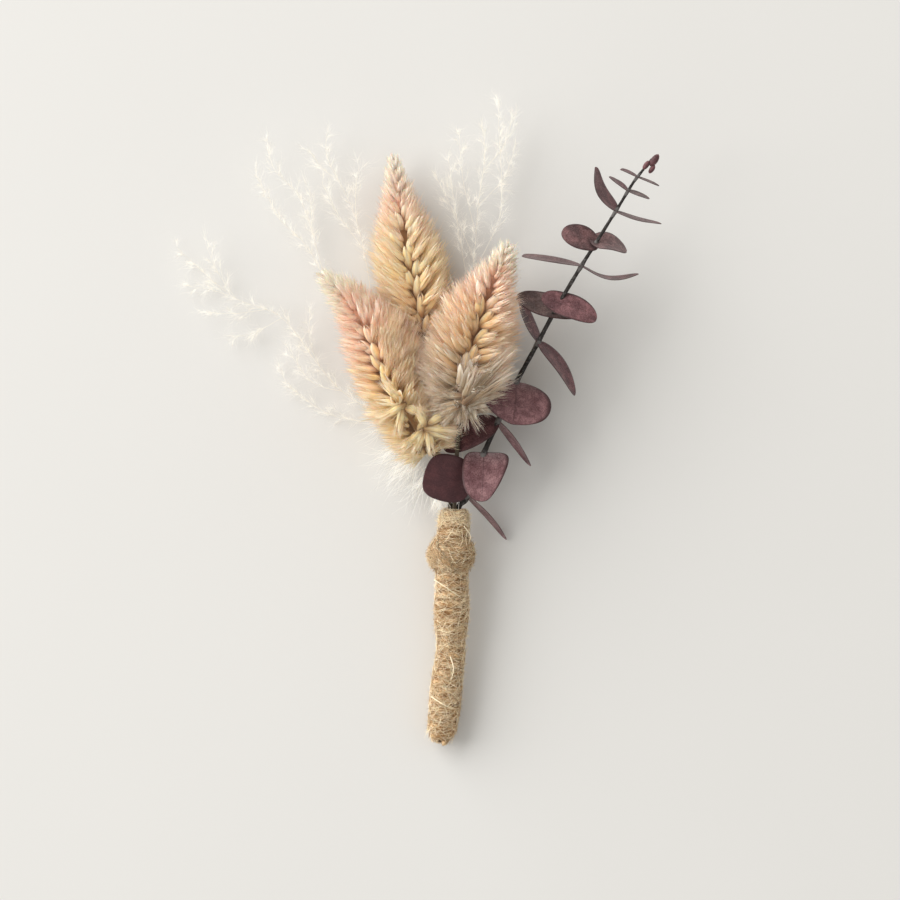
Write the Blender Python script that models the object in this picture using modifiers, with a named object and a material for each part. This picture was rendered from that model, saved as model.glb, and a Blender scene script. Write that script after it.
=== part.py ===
"""A small dried bouquet, of the size of a buttonhole, lying on a table.

Three celosia spikes, a eucalyptus sprig and four pale grass plumes have their
stems side by side in a handle wound with jute twine. Seen from straight above,
X is to the right and Y runs from the handle to the flowers. Z is up from the
table, and the origin is on the table under the middle of the whole bouquet.
"""

import math
import random

import bmesh
import bpy
from mathutils import Matrix, Vector
from mathutils.bvhtree import BVHTree

MM = 0.001
GAP = 0.3 * MM
WELD = 0.001 * MM
GOLDEN_ANGLE = math.radians(137.508)
UP = Vector((0, 0, 1))

# Lists of places below are in millimetres, as (x, y, z).

# The handle's axis, from its lower end up to where the stems come out.
HANDLE_AXIS = [
    (5.9, -80.4, 3.7), (7.1, -72, 4.4), (7.75, -64.5, 5.1), (8.7, -57, 5.7), (8.75, -50, 6.3),
    (9.0, -43, 6.9), (8.9, -35, 7.6), (9.3, -28, 8.1), (9.6, -21.5, 8.6),
]

# Jute twine: one length wound round the stems, and a second layer tied over it.
TWINE_RADIUS = 0.93 * MM
TWINE_TURNS = 26
TWINE_POINTS_A_TURN = 8
WRAP_RADII = [2.9, 3.1, 2.95, 2.85, 3.05, 3.2, 3.0, 3.05, 3.0]
TIE_TWINE_RADIUS = 0.78 * MM
TIE_FROM = 42.8 * MM
TIE_TURNS = 3.3
TIE_PITCH = 1.78 * MM
TIE_LEAN = 0.7 * MM
TIE_POINTS_A_TURN = 9
KNOT_SIZE = (1.1, 2.9, 1.8)
KNOT_ANGLE = 165
STRAND_LENGTH = 7.5 * MM
STRAND_SWEEP = 75
STRAND_POINTS = 9
STRAND_LIFT = 0.9 * MM

# Stems in the wrap: how far off the handle's axis they run, and their thickness.
THICK_STEM_OFFSET = 1.0
THIN_STEM_OFFSET = 1.4
CELOSIA_STEM_RADIUS = 0.58 * MM
SPRIG_RADII = (0.58, 0.6, 0.66, 0.64, 0.56, 0.45, 0.3)
PLUME_STEM_RADIUS = 0.2 * MM

# Celosia spikes. An axis runs from the base to the tip. The reach is how far the tips of the
# florets stand off it, at even shares of its length. No floret starts on the axis below
# root_from, or hangs lower than the floor.
HEADS = {
    "left": {
        "axis": [(5, -7.6, 9.6), (-2.4, 5.5, 11.8), (-9.5, 20.5, 13.2), (-16.9, 30.7, 14), (-24.8, 37.4, 14)],
        "reach": [8.6, 10.4, 11, 11, 10.2, 9.2, 6.6, 4.2, 1.5],
        "root_from": 0.03, "floor": 4.6, "florets": 72, "seed": 11,
        "stem": [(7.9, -17.5, 8.7), (6.8, -13, 9)],
    },
    "middle": {
        "axis": [(2.75, 17.5, 6), (1.25, 25.5, 6.4), (-1.25, 38, 7.2), (-3.75, 52, 7.8), (-5.7, 66.6, 7.9)],
        "reach": [6.5, 8.2, 9.2, 9.8, 9.7, 8.4, 5.5, 3.2, 1.1],
        "root_from": 0.04, "floor": 0.0, "florets": 70, "seed": 23,
        "stem": [(8.5, -16, 6.9), (4.8, -8, 4.6), (1.2, 2, 3.1), (1, 11, 3.8)],
    },
    "right": {
        "axis": [(10.8, -0.6, 14.8), (11.7, 6, 17), (13.3, 16, 18.4), (16, 26, 18.8), (22.6, 44.6, 18.4)],
        "reach": [8, 10, 11.4, 11.8, 11.6, 10.6, 7.4, 4.2, 1.6],
        "root_from": 0.1, "floor": 5.2, "florets": 76, "seed": 37,
        "stem": [(9.8, -16, 10), (10.1, -9.5, 11)],
    },
}
STEM_SHARES = (0.01, 0.125, 0.25, 0.375, 0.5, 0.625, 0.75, 0.875, 1)
CELOSIA_STEM_POINTS = 17
SPRIG_POINTS = 26
PLUME_POINTS = 22
STEM_DIRECTIONS = {"left": (-1, 0), "middle": (0, -1), "right": (0, 1)}
CORE_SHARE = 0.36
CORE_BASE_SHARE = 0.62
CORE_TIP_RADIUS = 0.5 * MM
CORE_SIDES = 6
CORE_POINTS = 8
LEAN_ANGLES = (60, 59, 58, 56, 53, 49, 42, 30, 15)
FLORET_WIDTH = 5 * MM
FLORET_FULL_LENGTH = 11 * MM
FLORET_LEAST_WIDTH = 0.25
FLORET_HALF_BREADTH = 0.58
FLORET_REACHES = (0.94, 1.03)
FLORETS_FROM = -0.1
FLORETS_TO = 1.0
FLORET_CROWDING = 1.3
FLORET_SCATTER = 0.12
DROOP = 2.5
SHORTER_TRIES = (1.0, 0.84, 0.68, 0.5)

# Where two spikes press on each other: a place between them, and the way across.
HEAD_BORDERS = [
    ("left", "right", (7.1, 3.5, 15.4), (0.7, 0.35, 0.62)),
    ("left", "middle", (-7.5, 24.5, 10), (0.83, 0.5, -0.25)),
    ("middle", "right", (8, 25, 12.5), (0.8, 0, 0.6)),
]
PRESS_DEPTH = 1.2 * MM

# The eucalyptus sprig: its stem above the handle, and its leaves in pairs, each with
# the place of its root on the stem (as Y), its tip, its width, its roll in degrees and
# how far its lobes reach back past the stem, as a share of its length.
SPRIG_STEM = [
    (12.4, -19.5, 9.0), (13.3, -17, 9.4), (16.75, -8.25, 10.7), (20.5, 0.25, 12), (25.25, 10.25, 13.5),
    (30.25, 19.5, 15), (35.5, 29.25, 16.5), (41, 38.5, 17.9), (45.25, 45.25, 18.9), (50.25, 53.25, 20.2),
    (53.75, 59, 21), (56, 62, 21.4), (58.6, 65.2, 21.8),
]
LEAVES = [
    (62, (51, 63.6, 22.3), 3.2, 75, 0), (62, (60.6, 59.2, 20.8), 3.2, -75, 0),
    (59, (48.3, 61.4, 21.6), 4.2, 75, 0), (59, (58.2, 55.8, 20.2), 4.2, -70, 0),
    (53.25, (44.8, 63.4, 21.4), 7.5, 58, 0), (53.25, (61, 49.6, 19.4), 6.5, -74, 0),
    (45.25, (36.2, 48.6, 21.2), 8.5, 40, 0.1), (45.25, (52.4, 42.6, 16.2), 8.5, -58, 0.1),
    (38.5, (26.6, 41.6, 17.6), 7.5, 78, 0), (38.5, (55.4, 36.8, 15.6), 7, -84, 0),
    (29.25, (45.2, 27.2, 18.6), 12, 48, 0.32), (29.25, (25, 30.6, 13.5), 12, -50, 0.25),
    (19.5, (25.2, 31.6, 12.6), 8.5, 45, 0), (19.5, (39.6, 6.6, 12), 8, -58, 0),
    (10.25, (25.6, -0.8, 20), 16, 5, 0.04), (10.25, (25.6, 3.5, 0.13), 10, -20, 0),
    (0.25, (9.6, -6.4, 9.4), 8, 16, 0), (0.25, (28.6, -11, 7), 7, -82, 0),
    (-8.25, (17, -19.2, 15.4), 11.5, 0, 0.04), (-8.25, (18, -14, 3.2), 9, -20, 0),
    (-18.2, (2.1, -10.8, 14), 11.5, 14, 0), (-18.2, (22.6, -29.4, 0.85), 7, -78, 0),
]
LEAF_THICKNESS = 0.6 * MM
LEAF_END_WIDTH = 0.8 * MM
LEAF_ARCH = 0.09
LEAF_CUP = 0.14
LEAF_CELLS = 4
BUD_SIZE = (1.1, 1.6, 1.1)
BUD_TURN = -35
BUDS = [(58.9, 65.7, 21.9, 1.0), (57.4, 64.5, 21.8, 0.8), (58.4, 63.8, 21.5, 0.8)]

# Grass plumes: the line of the main stem above the handle, and its side branches, each
# of which starts where the main stem is nearest to its first place.
PLUMES = {
    "left": {
        "offset": (-1, -1), "bare": 0.56, "seed": 5,
        "line": [(3.4, -9.6, 3.9), (-5, -1, 2.5), (-17, 6.5, 2.2), (-24, 13.75, 2.6), (-33.5, 26, 3.2),
                 (-46, 31.5, 3.4), (-59.6, 43.4, 2.6)],
        "branches": [
            [(-6, 0, 2.4), (-19.75, 1.25, 1.6), (-29.75, 7.5, 2.2), (-34.75, 13.75, 2.8)],
            [(-33.5, 26, 3.2), (-40, 22.5, 3), (-46, 21, 2.6)],
            [(-38, 28, 3.3), (-46, 27, 4), (-52, 27.5, 4.4)],
            [(-45, 31, 3.4), (-51, 33, 2.8), (-57.5, 34, 2.6)],
            [(-45, 31, 3.4), (-49.5, 37.5, 4.2), (-52.5, 44.5, 5)],
            [(-18, 7.5, 2.2), (-26, 10, 3.4), (-32, 18, 4.2)],
            [(-24, 13.75, 2.6), (-26.5, 20, 4), (-26.5, 26.5, 4.6)],
        ],
    },
    "upper_left": {
        "offset": (-1, 1), "bare": 0.74, "seed": 6,
        "line": [(5.7, -17.5, 9.1), (0.6, -10.5, 5.2), (-6.5, 2, 3.1), (-17, 22, 2.4), (-26, 42, 4.2),
                 (-34, 50.5, 5.5), (-37.2, 56.8, 6.4), (-40.2, 61.8, 7)],
        "branches": [
            [(-22, 34, 3.4), (-28.5, 55, 5.6), (-35, 62.5, 7.2), (-37.5, 70, 8)],
            [(-26, 42, 4.2), (-26, 50, 3.2), (-26.5, 58.5, 3.4)],
        ],
    },
    "top_left": {
        "offset": (1, -1), "bare": 0.78, "seed": 7,
        "line": [(10, -16, 5.2), (8, -9, 2.9), (2, 2, 1.5), (-8.5, 20, 1.4), (-12.5, 40, 3), (-15, 51, 4.5),
                 (-18.6, 59, 5.6), (-22.2, 66, 6.5), (-22.3, 71.8, 7)],
        "branches": [
            [(-15, 51, 4.5), (-15, 57.5, 5.6), (-14.2, 64, 6.6)],
            [(-19, 60, 5.7), (-23.5, 63.5, 5.6), (-26.5, 68, 6)],
            [(-13, 44, 3.5), (-19.5, 52, 3.4), (-23.5, 60, 4.2)],
        ],
    },
    "top_right": {
        "offset": (1, 1), "bare": 0.74, "seed": 8,
        "line": [(10.75, -20.2, 9.6), (11.2, -17.5, 8.6), (11.5, -14, 7.1), (11.6, -9, 5.6), (11, 0, 3.4),
                 (11.5, 20, 2.4), (14.5, 41, 4.4), (15.5, 54, 6), (17.2, 66.5, 7), (16.5, 73.3, 7.5)],
        "branches": [
            [(13.6, 36, 3.8), (20.5, 50, 6), (21.4, 60, 7), (20.6, 73, 8), (20.8, 80.4, 8)],
            [(14.5, 41, 4.4), (8.6, 54, 5), (4.8, 61.5, 5.6)],
            [(15, 47, 5.2), (11.8, 60, 6.6), (10.8, 72, 7.4)],
            [(13, 33, 3.4), (10.6, 48, 3.6), (8, 66, 5)],
            [(15.5, 54, 6), (22, 61, 5.6), (24.8, 69, 6)],
            [(17, 63, 6.8), (22, 69, 8.2), (24, 76.5, 8.8)],
        ],
    },
}
PLUME_BRANCH_RADIUS = 0.24 * MM
SPIKELET_RADIUS = 0.22 * MM
SPIKELET_LENGTHS = (2.6, 5.0)
SPIKELET_STEP = 4.4 * MM
SPIKELET_SPREAD = (24, 46)
SPIKELET_TWIST = 0.7
BRANCH_BARE_SHARE = 0.35
BRANCH_TAPER = 0.4

COLOURS = {
    "celosia": ((0.80, 0.60, 0.42), 0.85),
    "celosia stem": ((0.07, 0.06, 0.035), 0.7),
    "eucalyptus": ((0.16, 0.065, 0.075), 0.6),
    "pale grass": ((0.86, 0.82, 0.73), 0.9),
    "jute": ((0.42, 0.28, 0.15), 0.95),
}


def mm(place):
    """Turns a place in millimetres into a vector in metres."""
    return Vector(place) * MM


def start_scene():
    """Empties the scene and returns the collections for the parts and the guides."""
    for old in list(bpy.data.objects):
        bpy.data.objects.remove(old)
    parts = bpy.data.collections.new("dried_bouquet")
    guides = bpy.data.collections.new("guides")
    for collection in (parts, guides):
        bpy.context.scene.collection.children.link(collection)
    guides.hide_render = True
    return parts, guides


def make_materials():
    """Makes one Principled material for each kind of surface."""
    materials = {}
    for name, (colour, roughness) in COLOURS.items():
        material = bpy.data.materials.new(name)
        material.use_nodes = True
        surface = material.node_tree.nodes["Principled BSDF"]
        surface.inputs["Base Color"].default_value = (*colour, 1)
        surface.inputs["Roughness"].default_value = roughness
        surface.inputs["Metallic"].default_value = 0
        materials[name] = material
    return materials


class Line:
    """A smooth line through a few places, measured by its length."""

    def __init__(self, places, steps=10):
        self.places = []
        last = len(places) - 1
        for i in range(last):
            before, start = places[max(i - 1, 0)], places[i]
            end, after = places[i + 1], places[min(i + 2, last)]
            for k in range(steps):
                self.places.append(self.bend(before, start, end, after, k / steps))
        self.places.append(places[last].copy())
        self.lengths = [0]
        for a, b in zip(self.places, self.places[1:]):
            self.lengths.append(self.lengths[-1] + (b - a).length)
        self.length = self.lengths[-1]

    @staticmethod
    def bend(before, start, end, after, u):
        """A point of the Catmull and Rom curve between start and end."""
        linear = (end - before) * u
        square = (2 * before - 5 * start + 4 * end - after) * u ** 2
        cube = (3 * start - before - 3 * end + after) * u ** 3
        return start + (linear + square + cube) * 0.5

    def at(self, share):
        """The place at a share of the length."""
        goal = min(max(share, 0), 1) * self.length
        for i in range(len(self.places) - 1):
            if goal <= self.lengths[i + 1]:
                step = self.lengths[i + 1] - self.lengths[i]
                return self.places[i].lerp(self.places[i + 1], (goal - self.lengths[i]) / step)
        return self.places[-1].copy()

    def heading(self, share):
        """The way the line runs at a share of the length."""
        return (self.at(share + 0.01) - self.at(share - 0.01)).normalized()

    def across(self, share, angle):
        """A direction square to the line, turned round it by an angle from its right side."""
        right = self.heading(share).cross(UP).normalized()
        upper = right.cross(self.heading(share))
        return right * math.cos(angle) + upper * math.sin(angle)

    def even(self, count):
        """Evenly spaced places from end to end."""
        return [self.at(i / (count - 1)) for i in range(count)]

    def bent(self, count):
        """Places from end to end that lie closer together where the line bends."""
        turns = [0]
        for a, b, c in zip(self.places, self.places[1:], self.places[2:]):
            turns.append(turns[-1] + (b - a).angle(c - b, 0))
        turns.append(turns[-1])
        pace = [0.5 * l / self.length + 0.5 * t / turns[-1] for l, t in zip(self.lengths, turns)]
        chosen = []
        for i in range(count):
            goal = i / (count - 1)
            k = next((k for k in range(len(pace) - 1) if pace[k + 1] >= goal), len(pace) - 2)
            part = min((goal - pace[k]) / max(pace[k + 1] - pace[k], 1e-9), 1)
            chosen.append(self.places[k].lerp(self.places[k + 1], part))
        return chosen

    def share_at_y(self, y):
        """The share of the length at which the line first reaches a Y."""
        for i in range(201):
            if self.at(i / 200).y >= y:
                return i / 200
        return 1


def blend(values, share):
    """The value at a share of a list, with straight steps between its items."""
    spot = min(max(share, 0), 1) * (len(values) - 1)
    index = min(int(spot), len(values) - 2)
    return values[index] + (values[index + 1] - values[index]) * (spot - index)


def add_object(name, mesh, collection, material=None):
    """Links a mesh as an object."""
    obj = bpy.data.objects.new(name, mesh)
    if material:
        mesh.materials.append(material)
    collection.objects.link(obj)
    return obj


def mesh_of(form, name):
    """Turns a bmesh into a mesh."""
    mesh = bpy.data.meshes.new(name)
    form.to_mesh(mesh)
    form.free()
    return mesh


def evaluated_mesh(obj, name):
    """The object's mesh with its modifiers, in world space."""
    bpy.context.view_layer.update()
    seen = obj.evaluated_get(bpy.context.evaluated_depsgraph_get())
    mesh = bpy.data.meshes.new_from_object(seen)
    mesh.name = name
    mesh.transform(obj.matrix_world)
    mesh.materials.clear()
    return mesh


def weld_caps(mesh):
    """Joins the loose caps of a bar made from a curve to its sides."""
    form = bmesh.new()
    form.from_mesh(mesh)
    bmesh.ops.remove_doubles(form, verts=form.verts, dist=WELD)
    form.to_mesh(mesh)
    form.free()


def tube_mesh(name, places, radii, collection, finer=1):
    """A round bar along places, with a radius for each of them, as a closed mesh."""
    curve = bpy.data.curves.new(name, "CURVE")
    curve.dimensions = "3D"
    curve.bevel_depth = 1
    curve.bevel_resolution = finer
    curve.use_fill_caps = True
    line = curve.splines.new("POLY")
    line.points.add(len(places) - 1)
    for point, place, radius in zip(line.points, places, radii):
        point.co = (*place, 1)
        point.radius = radius
    obj = add_object(name, curve, collection)
    mesh = evaluated_mesh(obj, name)
    weld_caps(mesh)
    bpy.data.objects.remove(obj)
    return mesh


def keep_outside(mesh):
    """Drops the faces of any hollow that the union sealed, which fills it."""
    form = bmesh.new()
    form.from_mesh(mesh)
    left = set(form.verts)
    bodies = []
    while left:
        body, edge = set(), {left.pop()}
        while edge:
            body |= edge
            edge = {e.other_vert(v) for v in edge for e in v.link_edges} - body
        left -= body
        bodies.append(body)
    outside = max(bodies, key=len)
    bmesh.ops.delete(form, geom=[v for v in form.verts if v not in outside], context="VERTS")
    form.to_mesh(mesh)
    form.free()


def join_to(obj, meshes, guides):
    """Fuses closed meshes with the object by one Boolean union on a collection."""
    repeats = bpy.data.collections.new(obj.name + "_repeats")
    guides.children.link(repeats)
    for mesh in meshes:
        add_object("repeat", mesh, repeats)
    boolean(obj, "UNION", repeats)


def boolean(obj, operation, collection):
    """Applies one Boolean with a collection, whose objects are then removed."""
    step = obj.modifiers.new("join", "BOOLEAN")
    step.operation = operation
    step.operand_type = "COLLECTION"
    step.collection = collection
    step.solver = "MANIFOLD"
    material = obj.data.materials[0]
    mesh = evaluated_mesh(obj, obj.name)
    keep_outside(mesh)
    obj.modifiers.remove(step)
    obj.data = mesh
    mesh.materials.append(material)
    for used in list(collection.objects):
        bpy.data.objects.remove(used)
    bpy.data.collections.remove(collection)


def tree_of(obj):
    """The object's surface, for finding what crosses it."""
    places = [v.co for v in obj.data.vertices]
    return BVHTree.FromPolygons(places, [p.vertices for p in obj.data.polygons])


def crosses(form, trees):
    """Whether a small piece crosses any of the surfaces."""
    own = BVHTree.FromBMesh(form)
    return any(own.overlap(tree) for tree in trees)


def press(place, borders):
    """Moves a point that nears or passes a border back to its own side of it."""
    for middle, way in borders:
        past = (place - middle).dot(way)
        knee = -PRESS_DEPTH - GAP / 2
        if past > knee:
            kept = -GAP / 2 - PRESS_DEPTH * math.exp((knee - past) / PRESS_DEPTH)
            place = place + way * (kept - past)
    return place


# The handle: the twine wound round the stems, and the second layer tied over it.

def coil(axis, start, turns, pitch, radius_at, lean=0, points=TWINE_POINTS_A_TURN):
    """Places along a coil round the axis, from a length along it."""
    places = []
    for i in range(int(turns * points) + 1):
        angle = 2 * math.pi * i / points
        along = start + pitch * i / points + lean * math.sin(angle)
        share = along / axis.length
        places.append(axis.at(share) + axis.across(share, -angle) * radius_at(share))
    return places


def build_wrap(axis, parts, guides, jute):
    """One length of twine from the lower end of the handle to its top."""
    pitch = (axis.length - 2 * TWINE_RADIUS) / TWINE_TURNS
    places = coil(axis, TWINE_RADIUS, TWINE_TURNS, pitch, lambda share: blend(WRAP_RADII, share) * MM)
    mesh = tube_mesh("jute_wrap", places, [TWINE_RADIUS] * len(places), guides)
    return add_object("jute_wrap", mesh, parts, jute)


def build_tie(axis, parts, guides, jute):
    """Turns of twine over the wrap, with a strand across them and a knot at the left."""
    def outer(share, lift=0.0):
        return blend(WRAP_RADII, share) * MM + TWINE_RADIUS + GAP + TIE_TWINE_RADIUS + lift

    places = coil(axis, TIE_FROM, TIE_TURNS, TIE_PITCH, outer, TIE_LEAN, TIE_POINTS_A_TURN)
    obj = add_object("jute_tie", tube_mesh("jute_tie", places, [TIE_TWINE_RADIUS] * len(places), guides),
                     parts, jute)
    middle = (TIE_FROM + TIE_PITCH * TIE_TURNS / 2) / axis.length
    left = math.radians(KNOT_ANGLE)
    knot = bmesh.new()
    bmesh.ops.create_uvsphere(knot, u_segments=8, v_segments=6, radius=1)
    bmesh.ops.scale(knot, vec=mm(KNOT_SIZE), verts=knot.verts)
    seat = outer(middle) - TIE_TWINE_RADIUS + KNOT_SIZE[0] * MM
    bmesh.ops.translate(knot, vec=axis.at(middle) + axis.across(middle, left) * seat, verts=knot.verts)
    strand = []
    for k in range(STRAND_POINTS):
        along = k / (STRAND_POINTS - 1)
        share = middle + (along - 0.5) * STRAND_LENGTH / axis.length
        angle = left - math.radians(STRAND_SWEEP) * (1 - along)
        lift = STRAND_LIFT * math.sin(math.pi * along)
        strand.append(axis.at(share) + axis.across(share, angle) * outer(share, lift))
    strand_radii = [TIE_TWINE_RADIUS * 0.9] * STRAND_POINTS
    pieces = [mesh_of(knot, "knot"), tube_mesh("strand", strand, strand_radii, guides)]
    join_to(obj, pieces, guides)
    return obj


def stem_in_handle(axis, offset, size):
    """Places of a stem inside the wrap, from the lower end up to the top."""
    angle = math.atan2(offset[1], offset[0])
    return [axis.at(share) + axis.across(share, angle) * size * MM for share in STEM_SHARES]


def build_stem(side, axis, parts, guides, material):
    """A celosia stem, from the handle's lower end to just short of its spike's core."""
    head = HEADS[side]
    base, beyond = mm(head["axis"][0]), mm(head["axis"][1])
    end = base - (beyond - base).normalized() * GAP
    places = stem_in_handle(axis, STEM_DIRECTIONS[side], THICK_STEM_OFFSET)
    line = Line(places + [mm(p) for p in head["stem"]] + [end])
    name = "celosia_stem_" + side
    radii = [CELOSIA_STEM_RADIUS] * CELOSIA_STEM_POINTS
    mesh = tube_mesh(name, line.bent(CELOSIA_STEM_POINTS), radii, guides)
    return add_object(name, mesh, parts, material)


# The celosia spikes.

def aim(line, head, share, angle, scatter):
    """Where a floret starts and ends, for its tip to lie on the outline of the spike."""
    reach = blend(head["reach"], share) * MM * scatter * (1 + DROOP * min(share, 0))
    lean = math.radians(blend(LEAN_ANGLES, share))
    start = max(share - reach / math.tan(lean) / line.length, head["root_from"])
    below = line.heading(share) * (min(share, 0) * line.length)
    return line.at(start), line.at(share) + below + line.across(share, angle) * reach


def floret(root, way, length, width, turn, borders):
    """A spindle of three sides from its root along its way."""
    form = bmesh.new()
    bmesh.ops.create_uvsphere(form, u_segments=3, v_segments=3, radius=1)
    place = Matrix.Translation(root + way * (length / 2))
    tilt = way.to_track_quat("Z", "Y").to_matrix().to_4x4()
    size = Matrix.Diagonal((width * FLORET_HALF_BREADTH, width / 2, length / 2, 1))
    form.transform(place @ tilt @ Matrix.Rotation(turn, 4, "Z") @ size)
    for vertex in form.verts:
        vertex.co = press(vertex.co, borders)
    return form


def borders_of(side):
    """The borders of a spike, as a place and the way out of it."""
    borders = []
    for one, other, middle, way in HEAD_BORDERS:
        if side == one:
            borders.append((mm(middle), Vector(way).normalized()))
        if side == other:
            borders.append((mm(middle), -Vector(way).normalized()))
    floor = HEADS[side]["floor"]
    if floor:
        borders.append((mm((0, 0, floor)), -UP))
    return borders


def build_head(side, obstacles, parts, guides, material):
    """A slim core with florets set round it in a spiral."""
    head = HEADS[side]
    line = Line([mm(p) for p in head["axis"]])
    rng = random.Random(head["seed"])
    borders = borders_of(side)
    reaches = [reach * MM * CORE_SHARE for reach in head["reach"]]
    radii = [max(blend(reaches, k / CORE_POINTS), CORE_TIP_RADIUS) for k in range(CORE_POINTS)]
    radii[0] = reaches[0] * CORE_BASE_SHARE
    core = tube_mesh("core", line.even(CORE_POINTS), radii, guides, CORE_SIDES // 2 - 2)
    obj = add_object("celosia_head_" + side, core, parts, material)
    pieces = []
    count = head["florets"]
    for i in range(count):
        upward = 1 - (1 - (i + 0.5) / count) ** FLORET_CROWDING
        share = FLORETS_FROM + (FLORETS_TO - FLORETS_FROM) * upward
        angle = i * GOLDEN_ANGLE + rng.uniform(-FLORET_SCATTER, FLORET_SCATTER)
        root, tip = aim(line, head, share, angle, rng.uniform(*FLORET_REACHES))
        way, reach = (tip - root).normalized(), (tip - root).length
        grown = min(reach / FLORET_FULL_LENGTH, 1)
        width = FLORET_WIDTH * (FLORET_LEAST_WIDTH + (1 - FLORET_LEAST_WIDTH) * grown)
        turn = rng.uniform(0, math.pi)
        for shorter in SHORTER_TRIES:
            wide = floret(root, way, reach * shorter + GAP, width + 2 * GAP, turn, borders)
            free = not crosses(wide, obstacles)
            wide.free()
            if free:
                form = floret(root, way, reach * shorter, width, turn, borders)
                pieces.append(mesh_of(form, "floret"))
                break
    join_to(obj, pieces, guides)
    return obj


def flatten_below(obj, guides):
    """Presses the underside flat where it lies on the table."""
    form = bmesh.new()
    bmesh.ops.create_cube(form, size=0.2)
    bmesh.ops.translate(form, vec=(0, 0, -0.1), verts=form.verts)
    table = bpy.data.collections.new("table")
    guides.children.link(table)
    add_object("table_cut", mesh_of(form, "table_cut"), table)
    boolean(obj, "DIFFERENCE", table)


# The eucalyptus sprig.

def leaf(root, tip, width, roll, back):
    """One round leaf as an arched and cupped blade along the way from its root to its tip."""
    form = bmesh.new()
    bmesh.ops.create_grid(form, x_segments=LEAF_CELLS, y_segments=2, size=0.5)
    bmesh.ops.triangulate(form, faces=form.faces)
    ahead = (tip - root).normalized()
    side = Matrix.Rotation(math.radians(roll), 3, ahead) @ ahead.cross(UP).normalized()
    face = side.cross(ahead)
    length = (tip - root).length
    for vertex in form.verts:
        turn = math.pi * (vertex.co.x + 0.5)
        along = (1 - math.cos(turn)) / 2 * (1 + back) - back
        half = max(0.5 * width * math.sin(turn) ** 0.9, LEAF_END_WIDTH / 2)
        v = vertex.co.y * 2
        rise = length * LEAF_ARCH * math.sin(math.pi * max(along, 0)) + LEAF_CUP * half * v * v
        vertex.co = root + ahead * (along * length) + side * (half * v) + face * rise
    return form


def build_sprig(axis, parts, guides, material):
    """The stem with its leaves in pairs and the buds at its tip."""
    inside = stem_in_handle(axis, (1, 0), THICK_STEM_OFFSET)
    line = Line(inside + [mm(p) for p in SPRIG_STEM])
    radii = [blend(SPRIG_RADII, i / (SPRIG_POINTS - 1)) * MM for i in range(SPRIG_POINTS)]
    stem = tube_mesh("sprig", line.bent(SPRIG_POINTS), radii, guides)
    obj = add_object("eucalyptus_sprig", stem, parts, material)
    pieces = []
    for y, tip, width, roll, back in LEAVES:
        root = line.at(line.share_at_y(y * MM))
        blade = add_object("blade", mesh_of(leaf(root, mm(tip), width * MM, roll, back), "blade"), guides)
        thick = blade.modifiers.new("thickness", "SOLIDIFY")
        thick.thickness = LEAF_THICKNESS
        thick.offset = 0
        pieces.append(evaluated_mesh(blade, "blade"))
        bpy.data.objects.remove(blade)
    for x, y, z, size in BUDS:
        bud = bmesh.new()
        bmesh.ops.create_uvsphere(bud, u_segments=5, v_segments=4, radius=size)
        bmesh.ops.scale(bud, vec=mm(BUD_SIZE), verts=bud.verts)
        bmesh.ops.rotate(bud, matrix=Matrix.Rotation(math.radians(BUD_TURN), 3, "Z"), verts=bud.verts)
        bmesh.ops.translate(bud, vec=mm((x, y, z)), verts=bud.verts)
        pieces.append(mesh_of(bud, "bud"))
    join_to(obj, pieces, guides)
    return obj


# The pale grass plumes.

def spikelet(root, way, length, radius):
    """A slim three-sided point."""
    form = bmesh.new()
    bmesh.ops.create_cone(form, cap_ends=True, segments=3, radius1=radius, radius2=0, depth=length)
    turn = way.to_track_quat("Z", "Y").to_matrix().to_4x4()
    form.transform(Matrix.Translation(root + way * (length / 2)) @ turn)
    return form


def feather(line, bare, rng, obstacles):
    """Spikelets to both sides of a line, from a share of its length to its tip."""
    pieces = []
    count = max(int(line.length * (1 - bare) / SPIKELET_STEP), 2)
    for i in range(count):
        share = bare + (0.99 - bare) * (i + 0.7) / count
        spread = math.radians(rng.uniform(*SPIKELET_SPREAD))
        angle = (0 if i % 2 else math.pi) + rng.uniform(-SPIKELET_TWIST, SPIKELET_TWIST)
        way = line.heading(share) * math.cos(spread) + line.across(share, angle) * math.sin(spread)
        length = rng.uniform(*SPIKELET_LENGTHS) * MM
        root = line.at(share)
        if root.z + way.z * length < SPIKELET_RADIUS:
            way.z = abs(way.z)
        wide = spikelet(root, way, length + GAP, SPIKELET_RADIUS + GAP)
        if not crosses(wide, obstacles):
            pieces.append(mesh_of(spikelet(root, way, length, SPIKELET_RADIUS), "spikelet"))
        wide.free()
    return pieces


def build_plume(side, axis, obstacles, parts, guides, material):
    """A thin stem with side branches, all with spikelets along their outer part."""
    plume = PLUMES[side]
    rng = random.Random(plume["seed"])
    line = Line(stem_in_handle(axis, plume["offset"], THIN_STEM_OFFSET) + [mm(p) for p in plume["line"]])
    name = "pampas_plume_" + side
    mesh = tube_mesh(name, line.bent(PLUME_POINTS), [PLUME_STEM_RADIUS] * PLUME_POINTS, guides, 0)
    obj = add_object(name, mesh, parts, material)
    pieces = feather(line, plume["bare"], rng, obstacles)
    for places in plume["branches"]:
        root = min(line.places, key=lambda place: (place - mm(places[0])).length)
        branch = Line([root] + [mm(p) for p in places[1:]])
        points = 2 + len(places)
        radii = [PLUME_BRANCH_RADIUS * (1 - BRANCH_TAPER * i / points) for i in range(points)]
        pieces.append(tube_mesh("branch", branch.even(points), radii, guides, 0))
        pieces += feather(branch, BRANCH_BARE_SHARE, rng, obstacles)
    join_to(obj, pieces, guides)
    return obj


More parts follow.
